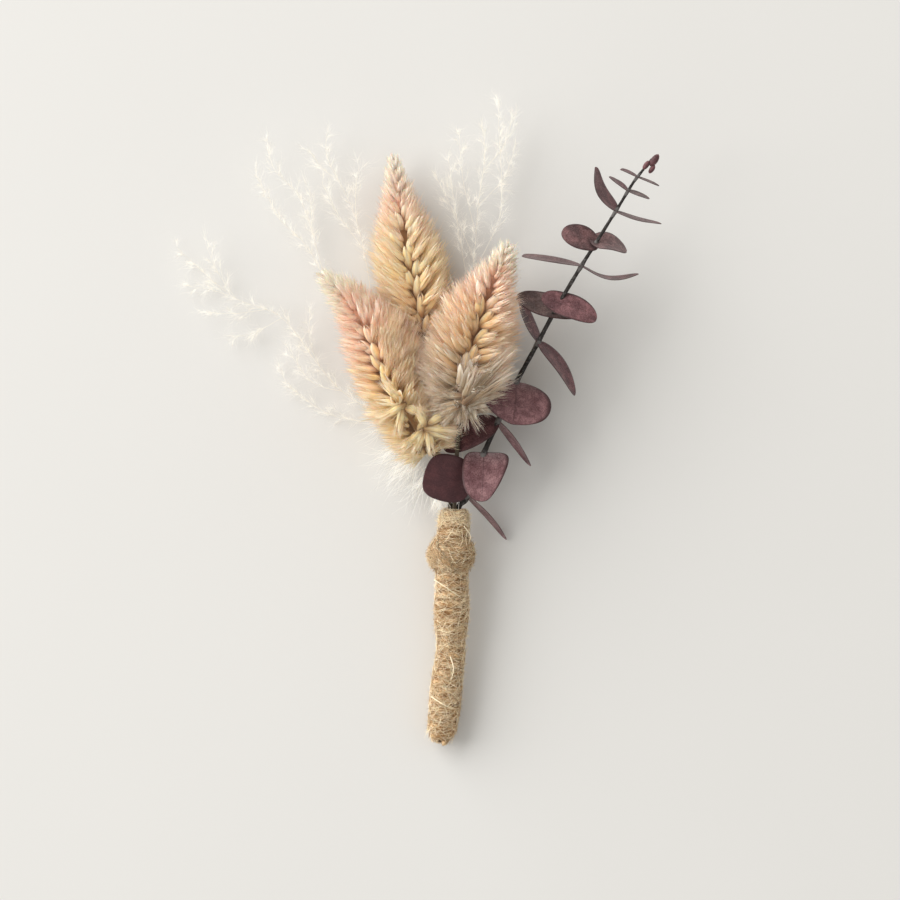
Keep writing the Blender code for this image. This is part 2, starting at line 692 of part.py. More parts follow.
def main():
    """Builds the bouquet and hangs every piece on one empty."""
    parts, guides = start_scene()
    materials = make_materials()
    axis = Line([mm(p) for p in HANDLE_AXIS])
    wrap = build_wrap(axis, parts, guides, materials["jute"])
    tie = build_tie(axis, parts, guides, materials["jute"])
    stems = [build_stem(side, axis, parts, guides, materials["celosia stem"]) for side in HEADS]
    sprig = build_sprig(axis, parts, guides, materials["eucalyptus"])
    fixed = [tree_of(obj) for obj in [wrap, tie, sprig] + stems]
    plumes = []
    for side in PLUMES:
        plume = build_plume(side, axis, fixed, parts, guides, materials["pale grass"])
        fixed.append(tree_of(plume))
        plumes.append(plume)
    for side in HEADS:
        head = build_head(side, fixed, parts, guides, materials["celosia"])
        if side == "middle":
            flatten_below(head, guides)
        fixed.append(tree_of(head))
    holder = bpy.data.objects.new("bouquet", None)
    bpy.context.scene.collection.objects.link(holder)
    for obj in parts.objects:
        obj.parent = holder


main()
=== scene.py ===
"""The looks of a small dried bouquet, of the size of a buttonhole, lying on a table.

Celosia spikes, a eucalyptus sprig and pale grass plumes have their stems side by side in
a handle wound with jute twine. Lengths are in millimetres until a mesh is made. X is to
the right and Y from the handle to the flowers, as seen from straight above.
"""

import math

import bpy
import numpy as np
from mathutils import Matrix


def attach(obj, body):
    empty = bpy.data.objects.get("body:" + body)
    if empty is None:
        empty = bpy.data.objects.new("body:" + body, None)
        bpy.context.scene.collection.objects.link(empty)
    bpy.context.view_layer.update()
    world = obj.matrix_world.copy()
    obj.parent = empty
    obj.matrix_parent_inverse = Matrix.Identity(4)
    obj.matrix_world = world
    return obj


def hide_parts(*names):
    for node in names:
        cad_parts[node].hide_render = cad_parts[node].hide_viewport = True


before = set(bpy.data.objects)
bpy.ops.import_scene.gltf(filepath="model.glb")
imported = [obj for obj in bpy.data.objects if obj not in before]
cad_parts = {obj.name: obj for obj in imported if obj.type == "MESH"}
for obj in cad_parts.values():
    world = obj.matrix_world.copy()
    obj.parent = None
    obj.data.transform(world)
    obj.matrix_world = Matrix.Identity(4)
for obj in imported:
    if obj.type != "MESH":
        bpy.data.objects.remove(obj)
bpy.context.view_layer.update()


# The celosia stalks. Three dark, dry stems run side by side inside the twine, from the
# handle's lower end to the spikes. They are only held by the twine around them.

MM = 0.001
UP = np.array([0.0, 0.0, 1.0])
HANDLE_AXIS = [
    (5.9, -80.4, 3.7), (7.1, -72, 4.4), (7.75, -64.5, 5.1), (8.7, -57, 5.7), (8.75, -50, 6.3),
    (9.0, -43, 6.9), (8.9, -35, 7.6), (9.3, -28, 8.1), (9.6, -21.5, 8.6),
]
STEM_SHARES = (0.01, 0.125, 0.25, 0.375, 0.5, 0.625, 0.75, 0.875, 1)
THICK_STEM_OFFSET = 1.0
STALK_RADIUS = 0.58
STALK_UNEVENNESS = 0.08
# Each stalk's angle round the handle's axis, and its places beyond the handle.
STALKS = {
    "left": (180, [(7.9, -17.5, 8.7), (6.8, -13, 9), (5.15, -7.85, 9.57)]),
    "middle": (-90, [(8.5, -16, 6.9), (4.8, -8, 4.6), (1.2, 2, 3.1), (1, 11, 3.8), (2.8, 17.2, 6)]),
    "right": (90, [(9.8, -16, 10), (10.1, -9.5, 11), (10.8, -0.8, 14.7)]),
}


def unit(ways):
    """The same ways with a length of one."""
    return ways / np.maximum(np.linalg.norm(ways, axis=-1, keepdims=True), 1e-9)


class Line:
    """A smooth line through a few places, measured by its length."""

    def __init__(self, places, steps=12):
        ends = np.array([places[0], *places, places[-1]], float)
        u = np.arange(steps)[:, None] / steps
        runs = []
        for a, b, c, d in zip(ends, ends[1:], ends[2:], ends[3:]):
            square = 2 * a - 5 * b + 4 * c - d
            cube = 3 * b - a - 3 * c + d
            runs.append(b + ((c - a) * u + square * u ** 2 + cube * u ** 3) / 2)
        self.places = np.vstack([*runs, ends[-1]])
        paces = np.linalg.norm(np.diff(self.places, axis=0), axis=1)
        self.lengths = np.concatenate([[0], np.cumsum(paces)])
        self.length = self.lengths[-1]

    def at(self, share):
        """The places at shares of the length."""
        goal = np.clip(share, 0, 1) * self.length
        return np.stack([np.interp(goal, self.lengths, axis) for axis in self.places.T], -1)

    def heading(self, share):
        """The way the line runs at shares of the length."""
        return unit(self.at(np.add(share, 0.01)) - self.at(np.subtract(share, 0.01)))

    def across(self, share, angle):
        """Ways square to the line, turned round it by an angle from its right side."""
        ahead = self.heading(share)
        right = unit(np.cross(ahead, UP))
        turn = np.asarray(angle, float)[..., None]
        return right * np.cos(turn) + np.cross(right, ahead) * np.sin(turn)


class Heap:
    """Gathers the surfaces of one piece, with values for its material at their places."""

    def __init__(self):
        self.places, self.loops, self.sizes, self.marks = [], [], [], []
        self.count = 0

    def faces(self, indices):
        """Adds faces that all have the same number of corners."""
        self.loops.append(np.ravel(indices))
        self.sizes.append(np.full(len(indices), indices.shape[1]))

    def sheets(self, grids, closed=False, **marks):
        """Adds alike sheets, each a grid of rows and columns, or tubes where closed."""
        many, rows, columns = grids.shape[:3]
        r, c = np.mgrid[0:rows - 1, 0:columns - (0 if closed else 1)]
        after = (c + 1) % columns
        one = np.stack([r * columns + c, (r + 1) * columns + c, (r + 1) * columns + after,
                        r * columns + after], -1).reshape(-1, 4)
        starts = self.count + np.arange(many)[:, None] * rows * columns
        self.faces((one[None] + starts[..., None]).reshape(-1, 4))
        if closed:
            ring = np.arange(columns)
            self.faces(starts + ring)
            self.faces(starts + (rows - 1) * columns + ring[::-1])
        self.marks.append((self.count, {name: self.spread(value, grids.shape[:3])
                                        for name, value in marks.items()}))
        self.places.append(grids.reshape(-1, 3))
        self.count += many * rows * columns

    @staticmethod
    def spread(value, shape):
        """A value for every place, from one for each sheet, row or column."""
        value = np.asarray(value, float)
        value = value.reshape(value.shape + (1,) * (3 - value.ndim))
        return np.broadcast_to(value, shape).ravel()

    def rod(self, line, radii, sides, aside=UP, **marks):
        """Adds a round bar along a line, with a radius and values at each of its places."""
        way = unit(np.gradient(line, axis=0))
        right = unit(np.cross(way, aside))
        upper = np.cross(right, way)
        turn = 2 * np.pi * np.arange(sides)[:, None] / sides
        ring = right[:, None] * np.cos(turn) + upper[:, None] * np.sin(turn)
        marks = {name: np.array(value)[None] for name, value in marks.items()}
        self.sheets((line[:, None] + ring * radii[:, None, None])[None], True, **marks)

    def ribbons(self, lines, widths, rng, **marks):
        """Adds flat hairs along lines, each turned its own way, with widths at its places."""
        way = unit(np.gradient(lines, axis=1))
        facing = rng.normal(size=(len(lines), 1, 3)) + UP * 0.8
        aside = unit(np.cross(way, facing)) * np.broadcast_to(widths, lines.shape[:2])[..., None]
        self.sheets(np.stack([lines - aside, lines + aside], 2), **marks)

    def stay_above(self, height):
        """Lifts what would come nearer to the table than a height."""
        for part in self.places:
            part[:, 2] = np.maximum(part[:, 2], height)

    def piece(self, name, paint, slot, *nodes):
        """Makes the mesh and lets it ride on the CAD model in place of its nodes."""
        mesh = bpy.data.meshes.new(name)
        places, loops = np.vstack(self.places) * MM, np.concatenate(self.loops)
        sizes = np.concatenate(self.sizes)
        mesh.vertices.add(len(places))
        mesh.vertices.foreach_set("co", places.ravel())
        mesh.loops.add(len(loops))
        mesh.loops.foreach_set("vertex_index", loops)
        mesh.polygons.add(len(sizes))
        mesh.polygons.foreach_set("loop_start", np.cumsum(sizes) - sizes)
        mesh.polygons.foreach_set("use_smooth", np.ones(len(sizes), bool))
        for mark in sorted({mark for _, marks in self.marks for mark in marks}):
            values = np.zeros(len(places))
            for start, marks in self.marks:
                if mark in marks:
                    values[start:start + len(marks[mark])] = marks[mark]
            mesh.attributes.new(mark, "FLOAT", "POINT").data.foreach_set("value", values)
        mesh.update(calc_edges=True)
        mesh.materials.append(paint.material)
        made = bpy.data.objects.new(name, mesh)
        bpy.context.scene.collection.objects.link(made)
        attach(made, "root")
        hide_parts(*nodes)


class Value:
    """What comes out of a socket, which can be used in sums."""

    def __init__(self, paint, socket):
        self.paint, self.socket = paint, socket

    def math(self, operation, first, second=0.0):
        """A Math node."""
        return self.paint.node("Math", {"operation": operation}, {0: first, 1: second})

    def __add__(self, other):
        return self.math("ADD", self, other)

    def __sub__(self, other):
        return self.math("SUBTRACT", self, other)

    def __rsub__(self, other):
        return self.math("SUBTRACT", other, self)

    def __mul__(self, other):
        return self.math("MULTIPLY", self, other)

    def __abs__(self):
        return self.math("ABSOLUTE", self)

    __radd__, __rmul__ = __add__, __mul__


class Paint:
    """A material, to which nodes are added one by one."""

    def __init__(self, name, **fixed):
        self.material = bpy.data.materials.new(name)
        self.material.use_nodes = True
        self.tree = self.material.node_tree
        self.surface = self.tree.nodes["Principled BSDF"]
        for socket, value in fixed.items():
            self.surface.inputs[socket.replace("_", " ")].default_value = value

    def node(self, kind, settings, sockets, out=0):
        """Adds a node with its settings and the values or links of its sockets."""
        made = self.tree.nodes.new("ShaderNode" + kind)
        for name, value in settings.items():
            if name == "stops":
                while len(made.color_ramp.elements) < len(value):
                    made.color_ramp.elements.new(0.5)
                for stop, (spot, colour) in zip(made.color_ramp.elements, value):
                    stop.position, stop.color = spot, (*colour, 1)
            else:
                setattr(made, name, value)
        for name, value in sockets.items():
            self.join(made.inputs[name], value)
        return Value(self, made.outputs[out])

    def join(self, socket, value):
        """Links or sets one socket."""
        if isinstance(value, Value):
            self.tree.links.new(value.socket, socket)
        elif isinstance(value, tuple) and socket.type == "RGBA":
            socket.default_value = (*value, 1)
        else:
            socket.default_value = value

    def mark(self, name):
        """A value painted on the mesh."""
        return self.node("Attribute", {"attribute_name": name}, {}, 2)

    def ramp(self, share, *stops):
        """A colour, or a grey for a value, that changes with a share."""
        return self.node("ValToRGB", {"stops": stops}, {0: share})

    def fade(self, value, low, high, start=0.0, end=1.0):
        """A smooth step from start to end as the value goes from low to high."""
        settings = {"interpolation_type": "SMOOTHSTEP"}
        return self.node("MapRange", settings, {0: value, 1: low, 2: high, 3: start, 4: end})

    def mix(self, share, first, second, blend="MIX"):
        """Two colours in one."""
        settings = {"data_type": "RGBA", "blend_type": blend}
        return self.node("Mix", settings, {0: share, 6: first, 7: second}, 2)

    def grain(self, size, stretch=(1.0, 1.0, 1.0), detail=2.0, where=None):
        """Noise around a half, whose spots are about a size in millimetres across."""
        where = where or self.node("TexCoord", {}, {}, 3)
        where = self.node("VectorMath", {"operation": "MULTIPLY"}, {0: where, 1: stretch})
        return self.node("TexNoise", {}, {0: where, "Scale": 1 / (size * MM), "Detail": detail})

    def finish(self, colour, roughness, height=None, depth=0.1, strength=1.0):
        """Joins the results to the surface. The depth of the bump is in millimetres."""
        self.join(self.surface.inputs["Base Color"], colour)
        self.join(self.surface.inputs["Roughness"], roughness)
        if height:
            sockets = {"Strength": strength, "Distance": depth * MM, "Height": height}
            self.join(self.surface.inputs["Normal"], self.node("Bump", {}, sockets))
        return self


handle = Line(HANDLE_AXIS)


def in_handle(angle, offset):
    """Places of a stem inside the twine, from the lower end up to the top."""
    share = np.array(STEM_SHARES)
    turn = np.full(len(share), math.radians(angle))
    return list(handle.at(share) + handle.across(share, turn) * offset)


def stalk_paint():
    """Dark, dry bark with fine lengthwise streaks."""
    paint = Paint("celosia stalk")
    streaks = paint.grain(0.3, (1, 0.12, 1))
    blotches = paint.grain(1.6)
    bark = paint.mix(streaks, (0.028, 0.02, 0.012), (0.13, 0.1, 0.06))
    colour = paint.mix(paint.fade(blotches, 0.55, 0.7), bark, (0.2, 0.17, 0.11))
    return paint.finish(colour, 0.7, streaks, 0.08)


bark_paint = stalk_paint()
for side, (angle, places) in STALKS.items():
    line = Line(in_handle(angle, THICK_STEM_OFFSET) + places)
    share = np.linspace(0, 1, 120)
    swell = 1 + STALK_UNEVENNESS * np.sin(share * 61) * np.sin(share * 23)
    heap = Heap()
    heap.rod(line.at(share), STALK_RADIUS * swell, 12)
    heap.piece("celosia_stalk_" + side, bark_paint, "celosia_stem", "celosia_stem_" + side)


# The pale grass. Four bleached plumes fan out behind the flowers. Each is a thin stem with
# fine side branches, which carry tiny husks and silky hairs, and is nearly white.

THIN_STEM_OFFSET = 1.4
# Each plume's angle round the handle's axis, the share of its stem that is bare, a seed, the
# places of its stem beyond the handle, and those of its branches.
PLUMES = {
    "left": {
        "angle": 225, "bare": 0.56, "seed": 5,
        "line": [(3.4, -9.6, 3.9), (-5, -1, 2.5), (-17, 6.5, 2.2), (-24, 13.75, 2.6),
                 (-33.5, 26, 3.2), (-46, 31.5, 3.4), (-59.6, 43.4, 2.6)],
        "branches": [
            [(-6, 0, 2.4), (-19.75, 1.25, 1.6), (-29.75, 7.5, 2.2), (-34.75, 13.75, 2.8)],
            [(-33.5, 26, 3.2), (-40, 22.5, 3), (-46, 21, 2.6)],
            [(-38, 28, 3.3), (-46, 27, 4), (-52, 27.5, 4.4)],
            [(-45, 31, 3.4), (-51, 33, 2.8), (-57.5, 34, 2.6)],
            [(-45, 31, 3.4), (-49.5, 37.5, 4.2), (-52.5, 44.5, 5)],
            [(-18, 7.5, 2.2), (-26, 10, 3.4), (-32, 18, 4.2)],
            [(-24, 13.75, 2.6), (-26.5, 20, 4), (-26.5, 26.5, 4.6)],
        ],
    },
    "upper_left": {
        "angle": 135, "bare": 0.74, "seed": 6,
        "line": [(5.7, -17.5, 9.1), (0.6, -10.5, 5.2), (-6.5, 2, 3.1), (-17, 22, 2.4),
                 (-26, 42, 4.2), (-34, 50.5, 5.5), (-37.2, 56.8, 6.4), (-40.2, 61.8, 7)],
        "branches": [
            [(-22, 34, 3.4), (-28.5, 55, 5.6), (-35, 62.5, 7.2), (-37.5, 70, 8)],
            [(-26, 42, 4.2), (-26, 50, 3.2), (-26.5, 58.5, 3.4)],
        ],
    },
    "top_left": {
        "angle": -45, "bare": 0.78, "seed": 7,
        "line": [(10, -16, 5.2), (8, -9, 2.9), (2, 2, 1.5), (-8.5, 20, 1.4), (-12.5, 40, 3),
                 (-15, 51, 4.5), (-18.6, 59, 5.6), (-22.2, 66, 6.5), (-22.3, 71.8, 7)],
        "branches": [
            [(-15, 51, 4.5), (-15, 57.5, 5.6), (-14.2, 64, 6.6)],
            [(-19, 60, 5.7), (-23.5, 63.5, 5.6), (-26.5, 68, 6)],
            [(-13, 44, 3.5), (-19.5, 52, 3.4), (-23.5, 60, 4.2)],
        ],
    },
    "top_right": {
        "angle": 45, "bare": 0.74, "seed": 8,
        "line": [(10.75, -20.2, 9.6), (11.2, -17.5, 8.6), (11.5, -14, 7.1), (11.6, -9, 5.6),
                 (11, 0, 3.4), (11.5, 20, 2.4), (14.5, 41, 4.4), (15.5, 54, 6), (17.2, 66.5, 7),
                 (16.5, 73.3, 7.5)],
        "branches": [
            [(13.6, 36, 3.8), (20.5, 50, 6), (21.4, 60, 7), (20.6, 73, 8), (20.8, 80.4, 8)],
            [(14.5, 41, 4.4), (8.6, 54, 5), (4.8, 61.5, 5.6)],
            [(15, 47, 5.2), (11.8, 60, 6.6), (10.8, 72, 7.4)],
            [(13, 33, 3.4), (10.6, 48, 3.6), (8, 66, 5)],
            [(15.5, 54, 6), (22, 61, 5.6), (24.8, 69, 6)],
            [(17, 63, 6.8), (22, 69, 8.2), (24, 76.5, 8.8)],
        ],
    },
}
PLUME_STEM_RADIUS = 0.085
BRANCH_RADIUS = 0.055
STEM_TAPER = 0.6
TWIG_STEP = 1.3
TWIG_POINTS = 6
TWIG_LENGTHS = (1.6, 4.4)
TWIG_WIDTHS = (0.045, 0.02)
TWIG_LEANS = (10, 42)
# On each twig: how many, how far they stray, their lengths, their curl and their half widths.
HUSKS = (3, 0.26, (0.9, 2.0), 0.12, (0.02, 0.045, 0.036, 0.008))
HAIRS = (20, 0.45, (1.4, 3.8), 0.35, (0.013, 0.015, 0.014, 0.012, 0.006))
# Loose locks between the spikes and the handle: root, tip and how many hairs.
TUFTS = [
    ((-1.5, -8.5, 5), (-9, -15.5, 3), 60), ((0.5, -9.5, 6), (-5.5, -18.5, 4), 70),
    ((-3, -5, 5), (-11.5, -10, 3), 50), ((3, -13, 7), (-2.5, -21, 5), 45),
    ((5.5, -18.2, 9.5), (5.2, -22.6, 10.6), 130), ((7, -18, 7.5), (7.6, -22, 8.6), 60),
    ((-6, 0, 5), (-14, -2.5, 3.5), 40),
]
TUFT_WIDTHS = (0.03, 0.04, 0.04, 0.035, 0.025, 0.01)
GRASS_CLEARANCE = 0.1


def grass_paint():
    """Bleached grass: near white, and a little warmer in its stems than in its hairs, with a faint painted
    glow.
    """
    # The emission is a painted glow, which lightens the thin hairs against their own shade.
    paint = Paint("bleached grass", Subsurface_Weight=0.3, Subsurface_Scale=0.6 * MM,
                  Subsurface_Radius=(1.0, 0.9, 0.8), Specular_IOR_Level=0.2,
                  Emission_Color=(1.0, 0.97, 0.93, 1), Emission_Strength=0.19)
    stem = paint.mark("stem")
    tone = paint.grain(2.5)
    hair = paint.mix(tone, (0.86, 0.84, 0.785), (0.93, 0.915, 0.86))
    straw = paint.mix(tone, (0.68, 0.62, 0.5), (0.8, 0.75, 0.64))
    return paint.finish(paint.mix(stem, hair, straw), 0.75)


def bent_hairs(roots, ways, lengths, rng, points, curl):
    """Lines from their roots, each with a slow bend of its own."""
    t = np.linspace(0, 1, points)[None, :, None]
    bend = unit(rng.normal(size=roots.shape)) * curl
    wave = unit(rng.normal(size=roots.shape)) * curl * 0.3
    out = ways[:, None] * t + bend[:, None] * t ** 2 + wave[:, None] * np.sin(t * 7)
    return roots[:, None] + out * lengths[:, None, None]


def stray(ways, spread, rng):
    """Ways turned off their own by up to about a spread."""
    return unit(ways + rng.normal(size=ways.shape) * spread)


def feather(heap, line, bare, rng, thick):
    """Twigs with husks and hairs along the outer part of a line."""
    count = max(int(line.length * (1 - bare) / TWIG_STEP), 3)
    share = bare + (1 - bare) * (np.arange(count) + rng.uniform(0, 1, count)) / count
    spread = np.radians(rng.uniform(*TWIG_LEANS, count))
    angle = rng.uniform(0, 2 * np.pi, count)
    across = line.across(share, angle) * np.array([1, 1, 0.55])
    ways = unit(line.heading(share) * np.cos(spread)[:, None] + across * np.sin(spread)[:, None])
    lengths = rng.uniform(*TWIG_LENGTHS, count) * (1.05 - 0.45 * share)
    twigs = bent_hairs(line.at(share), ways, lengths, rng, TWIG_POINTS, 0.3)
    heap.ribbons(twigs, np.linspace(*TWIG_WIDTHS, TWIG_POINTS) * thick, rng, stem=0.55)
    for each, spread, reach, curl, widths in (HUSKS, HAIRS):
        k = np.repeat(np.arange(count), each)
        t = rng.uniform(0.15, 1, len(k)) * (TWIG_POINTS - 1.001)
        row = t.astype(int)
        part = (t - row)[:, None]
        roots = twigs[k, row] * (1 - part) + twigs[k, row + 1] * part
        toward = stray(unit(twigs[k, row + 1] - twigs[k, row]), spread, rng)
        lines = bent_hairs(roots, toward, rng.uniform(*reach, len(k)), rng, len(widths), curl)
        heap.ribbons(lines, np.array(widths), rng, stem=rng.uniform(0, 0.25, len(k)))


def tuft(heap, root, tip, count, rng):
    """A loose lock of silky hairs from a root towards a tip."""
    root, tip = np.array(root), np.array(tip)
    starts = root + rng.normal(size=(count, 3)) * 0.7
    lengths = np.linalg.norm(tip - root) * rng.uniform(0.5, 1.1, count)
    ways = stray(np.repeat(unit(tip - root)[None], count, 0), 0.2, rng)
    lines = bent_hairs(starts, ways, lengths, rng, len(TUFT_WIDTHS), 0.3)
    heap.ribbons(lines, np.array(TUFT_WIDTHS), rng, stem=0.0)


pale_paint = grass_paint()
for side, plume in PLUMES.items():
    rng = np.random.default_rng(plume["seed"])
    heap = Heap()
    line = Line(in_handle(plume["angle"], THIN_STEM_OFFSET) + plume["line"])
    share = np.linspace(0, 1, 110)
    heap.rod(line.at(share), PLUME_STEM_RADIUS * (1 - STEM_TAPER * share), 5, stem=1.0)
    feather(heap, line, plume["bare"], rng, 1.0)
    for places in plume["branches"]:
        near = np.argmin(np.linalg.norm(line.places - places[0], axis=1))
        branch = Line([tuple(line.places[near]), *places[1:]])
        share = np.linspace(0, 1, 24)
        heap.rod(branch.at(share), BRANCH_RADIUS * (1 - STEM_TAPER * share), 4, stem=0.8)
        feather(heap, branch, 0.2, rng, 0.8)
    if side == "left":
        for root, tip, count in TUFTS:
            tuft(heap, root, tip, count, rng)
    heap.stay_above(GRASS_CLEARANCE)
    heap.piece("pale_plume_" + side, pale_paint, "pale_grass", "pampas_plume_" + side)


# The celosia spikes. Each is a slim core set all round with papery, silky florets, with plump
# closed buds up its front and, on two of them, open florets near the base. They have dried
# from straw at the base to pink and cream at the tip, and grow on the stalks' ends.

GOLDEN_ANGLE = math.radians(137.508)
# For each spike: its core's line, how far its florets reach and lean at the nine SHARES of it,
# the angle of its front, the shares where tips and roots begin, its lowest place, a seed, the
# buds' first and last share, length, width and how far they stand apart, the locks' number,
# shares and angles, the root, tip, width and flare of open florets, and colours by share.
SPIKES = {
    "left": {
        "core": [(5, -7.6, 9.6), (-2.4, 5.5, 11.8), (-9.5, 20.5, 13.2), (-16.9, 30.7, 14),
                 (-24.8, 37.4, 14)],
        "reach": [8.4, 10.4, 11.0, 11.0, 10.2, 9.2, 6.6, 4.2, 1.5],
        "lean": [80, 68, 60, 54, 50, 46, 40, 30, 14],
        "front": 116, "tips_from": -0.05, "roots_from": 0.05, "floor": 4.6, "seed": 11,
        "buds": (0.36, 0.7, 5.2, 2.0, 0.7), "locks": (70, (0.06, 0.66), (-15, 80)),
        "open": [
            ((-3, 4, 22), (-10, 0.4, 19), 2.0, 0.4), ((-3.2, 4.6, 22.4), (-9.6, 5.6, 20), 2.1, 0.4),
            ((-3, 5, 22.6), (-7.4, 10.2, 22.4), 2.2, 0.4), ((-2.6, 3.6, 22), (-5.4, -3.4, 19), 2.0, 0.4),
            ((-2.2, 4, 22.4), (2.8, 1.8, 22), 2.1, 0.4), ((-3.9, 4.9, 22.6), (-4.1, 5.7, 25.6), 3.0, 0.9),
            ((1.6, -1.8, 20.6), (-3.6, -6.2, 17), 2.0, 0.5),
            ((1.9, -2.2, 20.6), (0.6, -8.2, 16.6), 2.0, 0.5),
            ((2.4, -2.2, 20.8), (5.6, -7.4, 17.4), 2.1, 0.5), ((2.6, -1.8, 21), (9, -5.2, 18.6), 2.2, 0.5),
            ((2.6, -1.2, 21.2), (9.4, -1.4, 20), 2.2, 0.5), ((2.2, -0.8, 21.4), (7, 3, 21.4), 2.1, 0.5),
            ((1.6, -1, 21.4), (-0.4, 3.4, 22.6), 2.0, 0.6),
        ],
        "colours": [(0.0, (0.85, 0.7, 0.42)), (0.2, (0.88, 0.68, 0.33)), (0.45, (0.92, 0.66, 0.3)),
                    (0.6, (0.95, 0.6, 0.4)), (0.8, (1.0, 0.68, 0.54)), (0.93, (1.0, 0.93, 0.82))],
    },
    "middle": {
        "core": [(2.75, 17.5, 6), (1.25, 25.5, 6.4), (-1.25, 38, 7.2), (-3.75, 52, 7.8),
                 (-5.9, 67.3, 7.9)],
        "reach": [6.5, 8.2, 9.2, 9.8, 9.7, 8.4, 5.5, 3.2, 1.1],
        "lean": [76, 64, 54, 50, 46, 42, 34, 26, 12],
        "front": 90, "tips_from": -0.1, "roots_from": 0.05, "floor": 0.12, "seed": 23,
        "buds": (0.14, 0.74, 6.0, 2.1, 0.95), "locks": (30, (0.0, 0.4), (150, 200)),
        "open": [],
        "colours": [(0.0, (0.78, 0.5, 0.27)), (0.3, (0.98, 0.69, 0.37)), (0.5, (1.0, 0.77, 0.42)),
                    (0.64, (1.0, 0.77, 0.5)), (0.78, (1.0, 0.68, 0.55)), (0.95, (1.0, 0.91, 0.82))],
    },
    "right": {
        "core": [(10.8, -0.6, 14.8), (11.7, 6, 17), (13.3, 16, 18.4), (16, 26, 18.8),
                 (23.6, 45.2, 18.4)],
        "reach": [6.2, 9.4, 11.4, 11.8, 11.6, 10.6, 7.4, 4.2, 1.6],
        "lean": [84, 76, 68, 62, 58, 54, 46, 34, 16],
        "front": 90, "tips_from": 0.08, "roots_from": 0.16, "floor": 5.2, "seed": 37,
        "buds": (0.3, 0.76, 5.8, 2.4, 1.05), "locks": (50, (0.0, 0.42), (140, 215)),
        "open": [
            ((12, 5.1, 26), (22.6, 12.5, 27), 2.0, 0.2), ((12.2, 5.3, 26.4), (24, 16, 28), 2.2, 0.2),
            ((12, 5, 25.6), (22.2, 9.4, 25.4), 2.0, 0.2), ((12, 4.9, 25), (20.6, 6.6, 23.6), 1.8, 0.2),
            ((12.4, 5.6, 26.8), (22.6, 18.6, 29), 2.3, 0.2), ((11.8, 4.6, 24.6), (11.3, -2.6, 21), 1.5, 0.3),
            ((11.5, 4.8, 24.6), (9, -0.9, 21), 1.5, 0.3), ((11.6, 5.4, 25.4), (3.2, 7.4, 22), 1.9, 0.2),
            ((11.6, 5.1, 25), (3.6, 4.2, 21), 1.9, 0.3), ((11.6, 4.9, 24.8), (5.1, 1.1, 20), 1.8, 0.3),
            ((11.5, 4.7, 24.6), (7.1, -1.4, 19.5), 1.7, 0.3), ((11.9, 6.5, 26), (12.1, 15.2, 30.2), 3.6, 0.7),
            ((12.1, 4.8, 24.6), (16.4, -0.6, 20), 1.5, 0.3), ((12, 5.2, 26), (15.5, 12.5, 29.6), 2.4, 0.4),
        ],
        "colours": [(0.0, (0.36, 0.27, 0.175)), (0.22, (0.43, 0.31, 0.19)), (0.4, (0.75, 0.52, 0.28)),
                    (0.58, (0.85, 0.57, 0.28)), (0.8, (1.0, 0.66, 0.52)), (0.95, (1.0, 0.93, 0.82))],
    },
}
SHARES = np.linspace(0, 1, 9)
CEILING = 31.2
PRESS_DEPTH = 1.2
FLORETS = 350
SCALES = 5
# A floret's girth at the FORM_ROWS of its length, and how far round it each scale goes there.
FORM_ROWS = [0, 0.15, 0.35, 0.55, 0.75, 0.9, 1]
PLUMP = ([0.4, 0.74, 0.97, 1.0, 0.84, 0.56, 0.14], [0.9, 1, 1, 1, 0.95, 0.8, 0.4])
SLENDER = ([0.35, 0.8, 1.0, 0.88, 0.64, 0.42, 0.16], [0.9, 1, 0.95, 0.82, 0.6, 0.35, 0.06])
FLORET_LENGTHS = [2, 5, 8, 10]
FLORET_WIDTHS = [0.5, 1.2, 1.9, 2.2]
BUD_STRIP = 0.94
BUD_FLARE = 0.05
OPEN_ROOT_STRAY = 0.5
OPEN_TIP_STRAY = 0.8
OPEN_SHARE = 0.12
HAIRS_A_FLORET = 16
LONG_HAIRS_A_FLORET = 3
HAIRS_AN_OPEN_FLORET = 45
HAIRS_A_LOCK = 80
LOCK_WIDTH = 2.6
SILK_WIDTHS = (0.05, 0.055, 0.04, 0.012)


def celosia_paint(name, colours):
    """Papery scales: brown at the root, where painted shade also darkens them, pale at the tip, each of its
    own tone.
    """
    # The emission is a faint painted glow that lightens all the scales.
    paint = Paint(name, Subsurface_Weight=0.6, Subsurface_Scale=1.2 * MM,
                  Subsurface_Radius=(1.0, 0.7, 0.5), Specular_IOR_Level=0.2,
                  Sheen_Weight=0.2, Sheen_Roughness=0.5,
                  Emission_Color=(1.0, 0.8, 0.58, 1), Emission_Strength=0.025)
    along, out = paint.mark("along"), paint.mark("out")
    tone, edge, grey = paint.mark("tone"), paint.mark("edge"), paint.mark("grey")
    drift = paint.grain(5)
    body = paint.ramp(along + (drift - 0.5) * 0.3 + tone * 0.05, *colours)
    body = paint.mix(grey, body, (0.76, 0.56, 0.38))
    pale = paint.mix(0.66, body, (1.0, 0.94, 0.82))
    paleness = paint.fade(out, 0.45, 0.95) * 0.85 + paint.fade(tone, 0.2, 1) * 0.25
    body = paint.mix(paleness, body, pale)
    streak = paint.grain(0.35, detail=3)
    body = paint.mix(paint.fade(streak, 0.35, 0.75) * 0.18, body, (0.7, 0.45, 0.26), "MULTIPLY")
    body = paint.mix(paint.fade(abs(edge), 0.55, 1.0) * 0.25, body, (0.98, 0.92, 0.8))
    # Painted shade: each scale turns dark brown towards its root, partly its own colour and partly the shade
    # between the florets, most strongly low on the spike.
    root = paint.fade(out, 0.0, 0.42, 1.0, 0.0)
    root_shade_strength = paint.fade(along, 0.6, 0.88, 0.8, 0.3)
    body = paint.mix(root * root_shade_strength, body, (0.36, 0.19, 0.08), "MULTIPLY")
    return paint.finish(body, 0.75, streak, 0.04, 0.4)


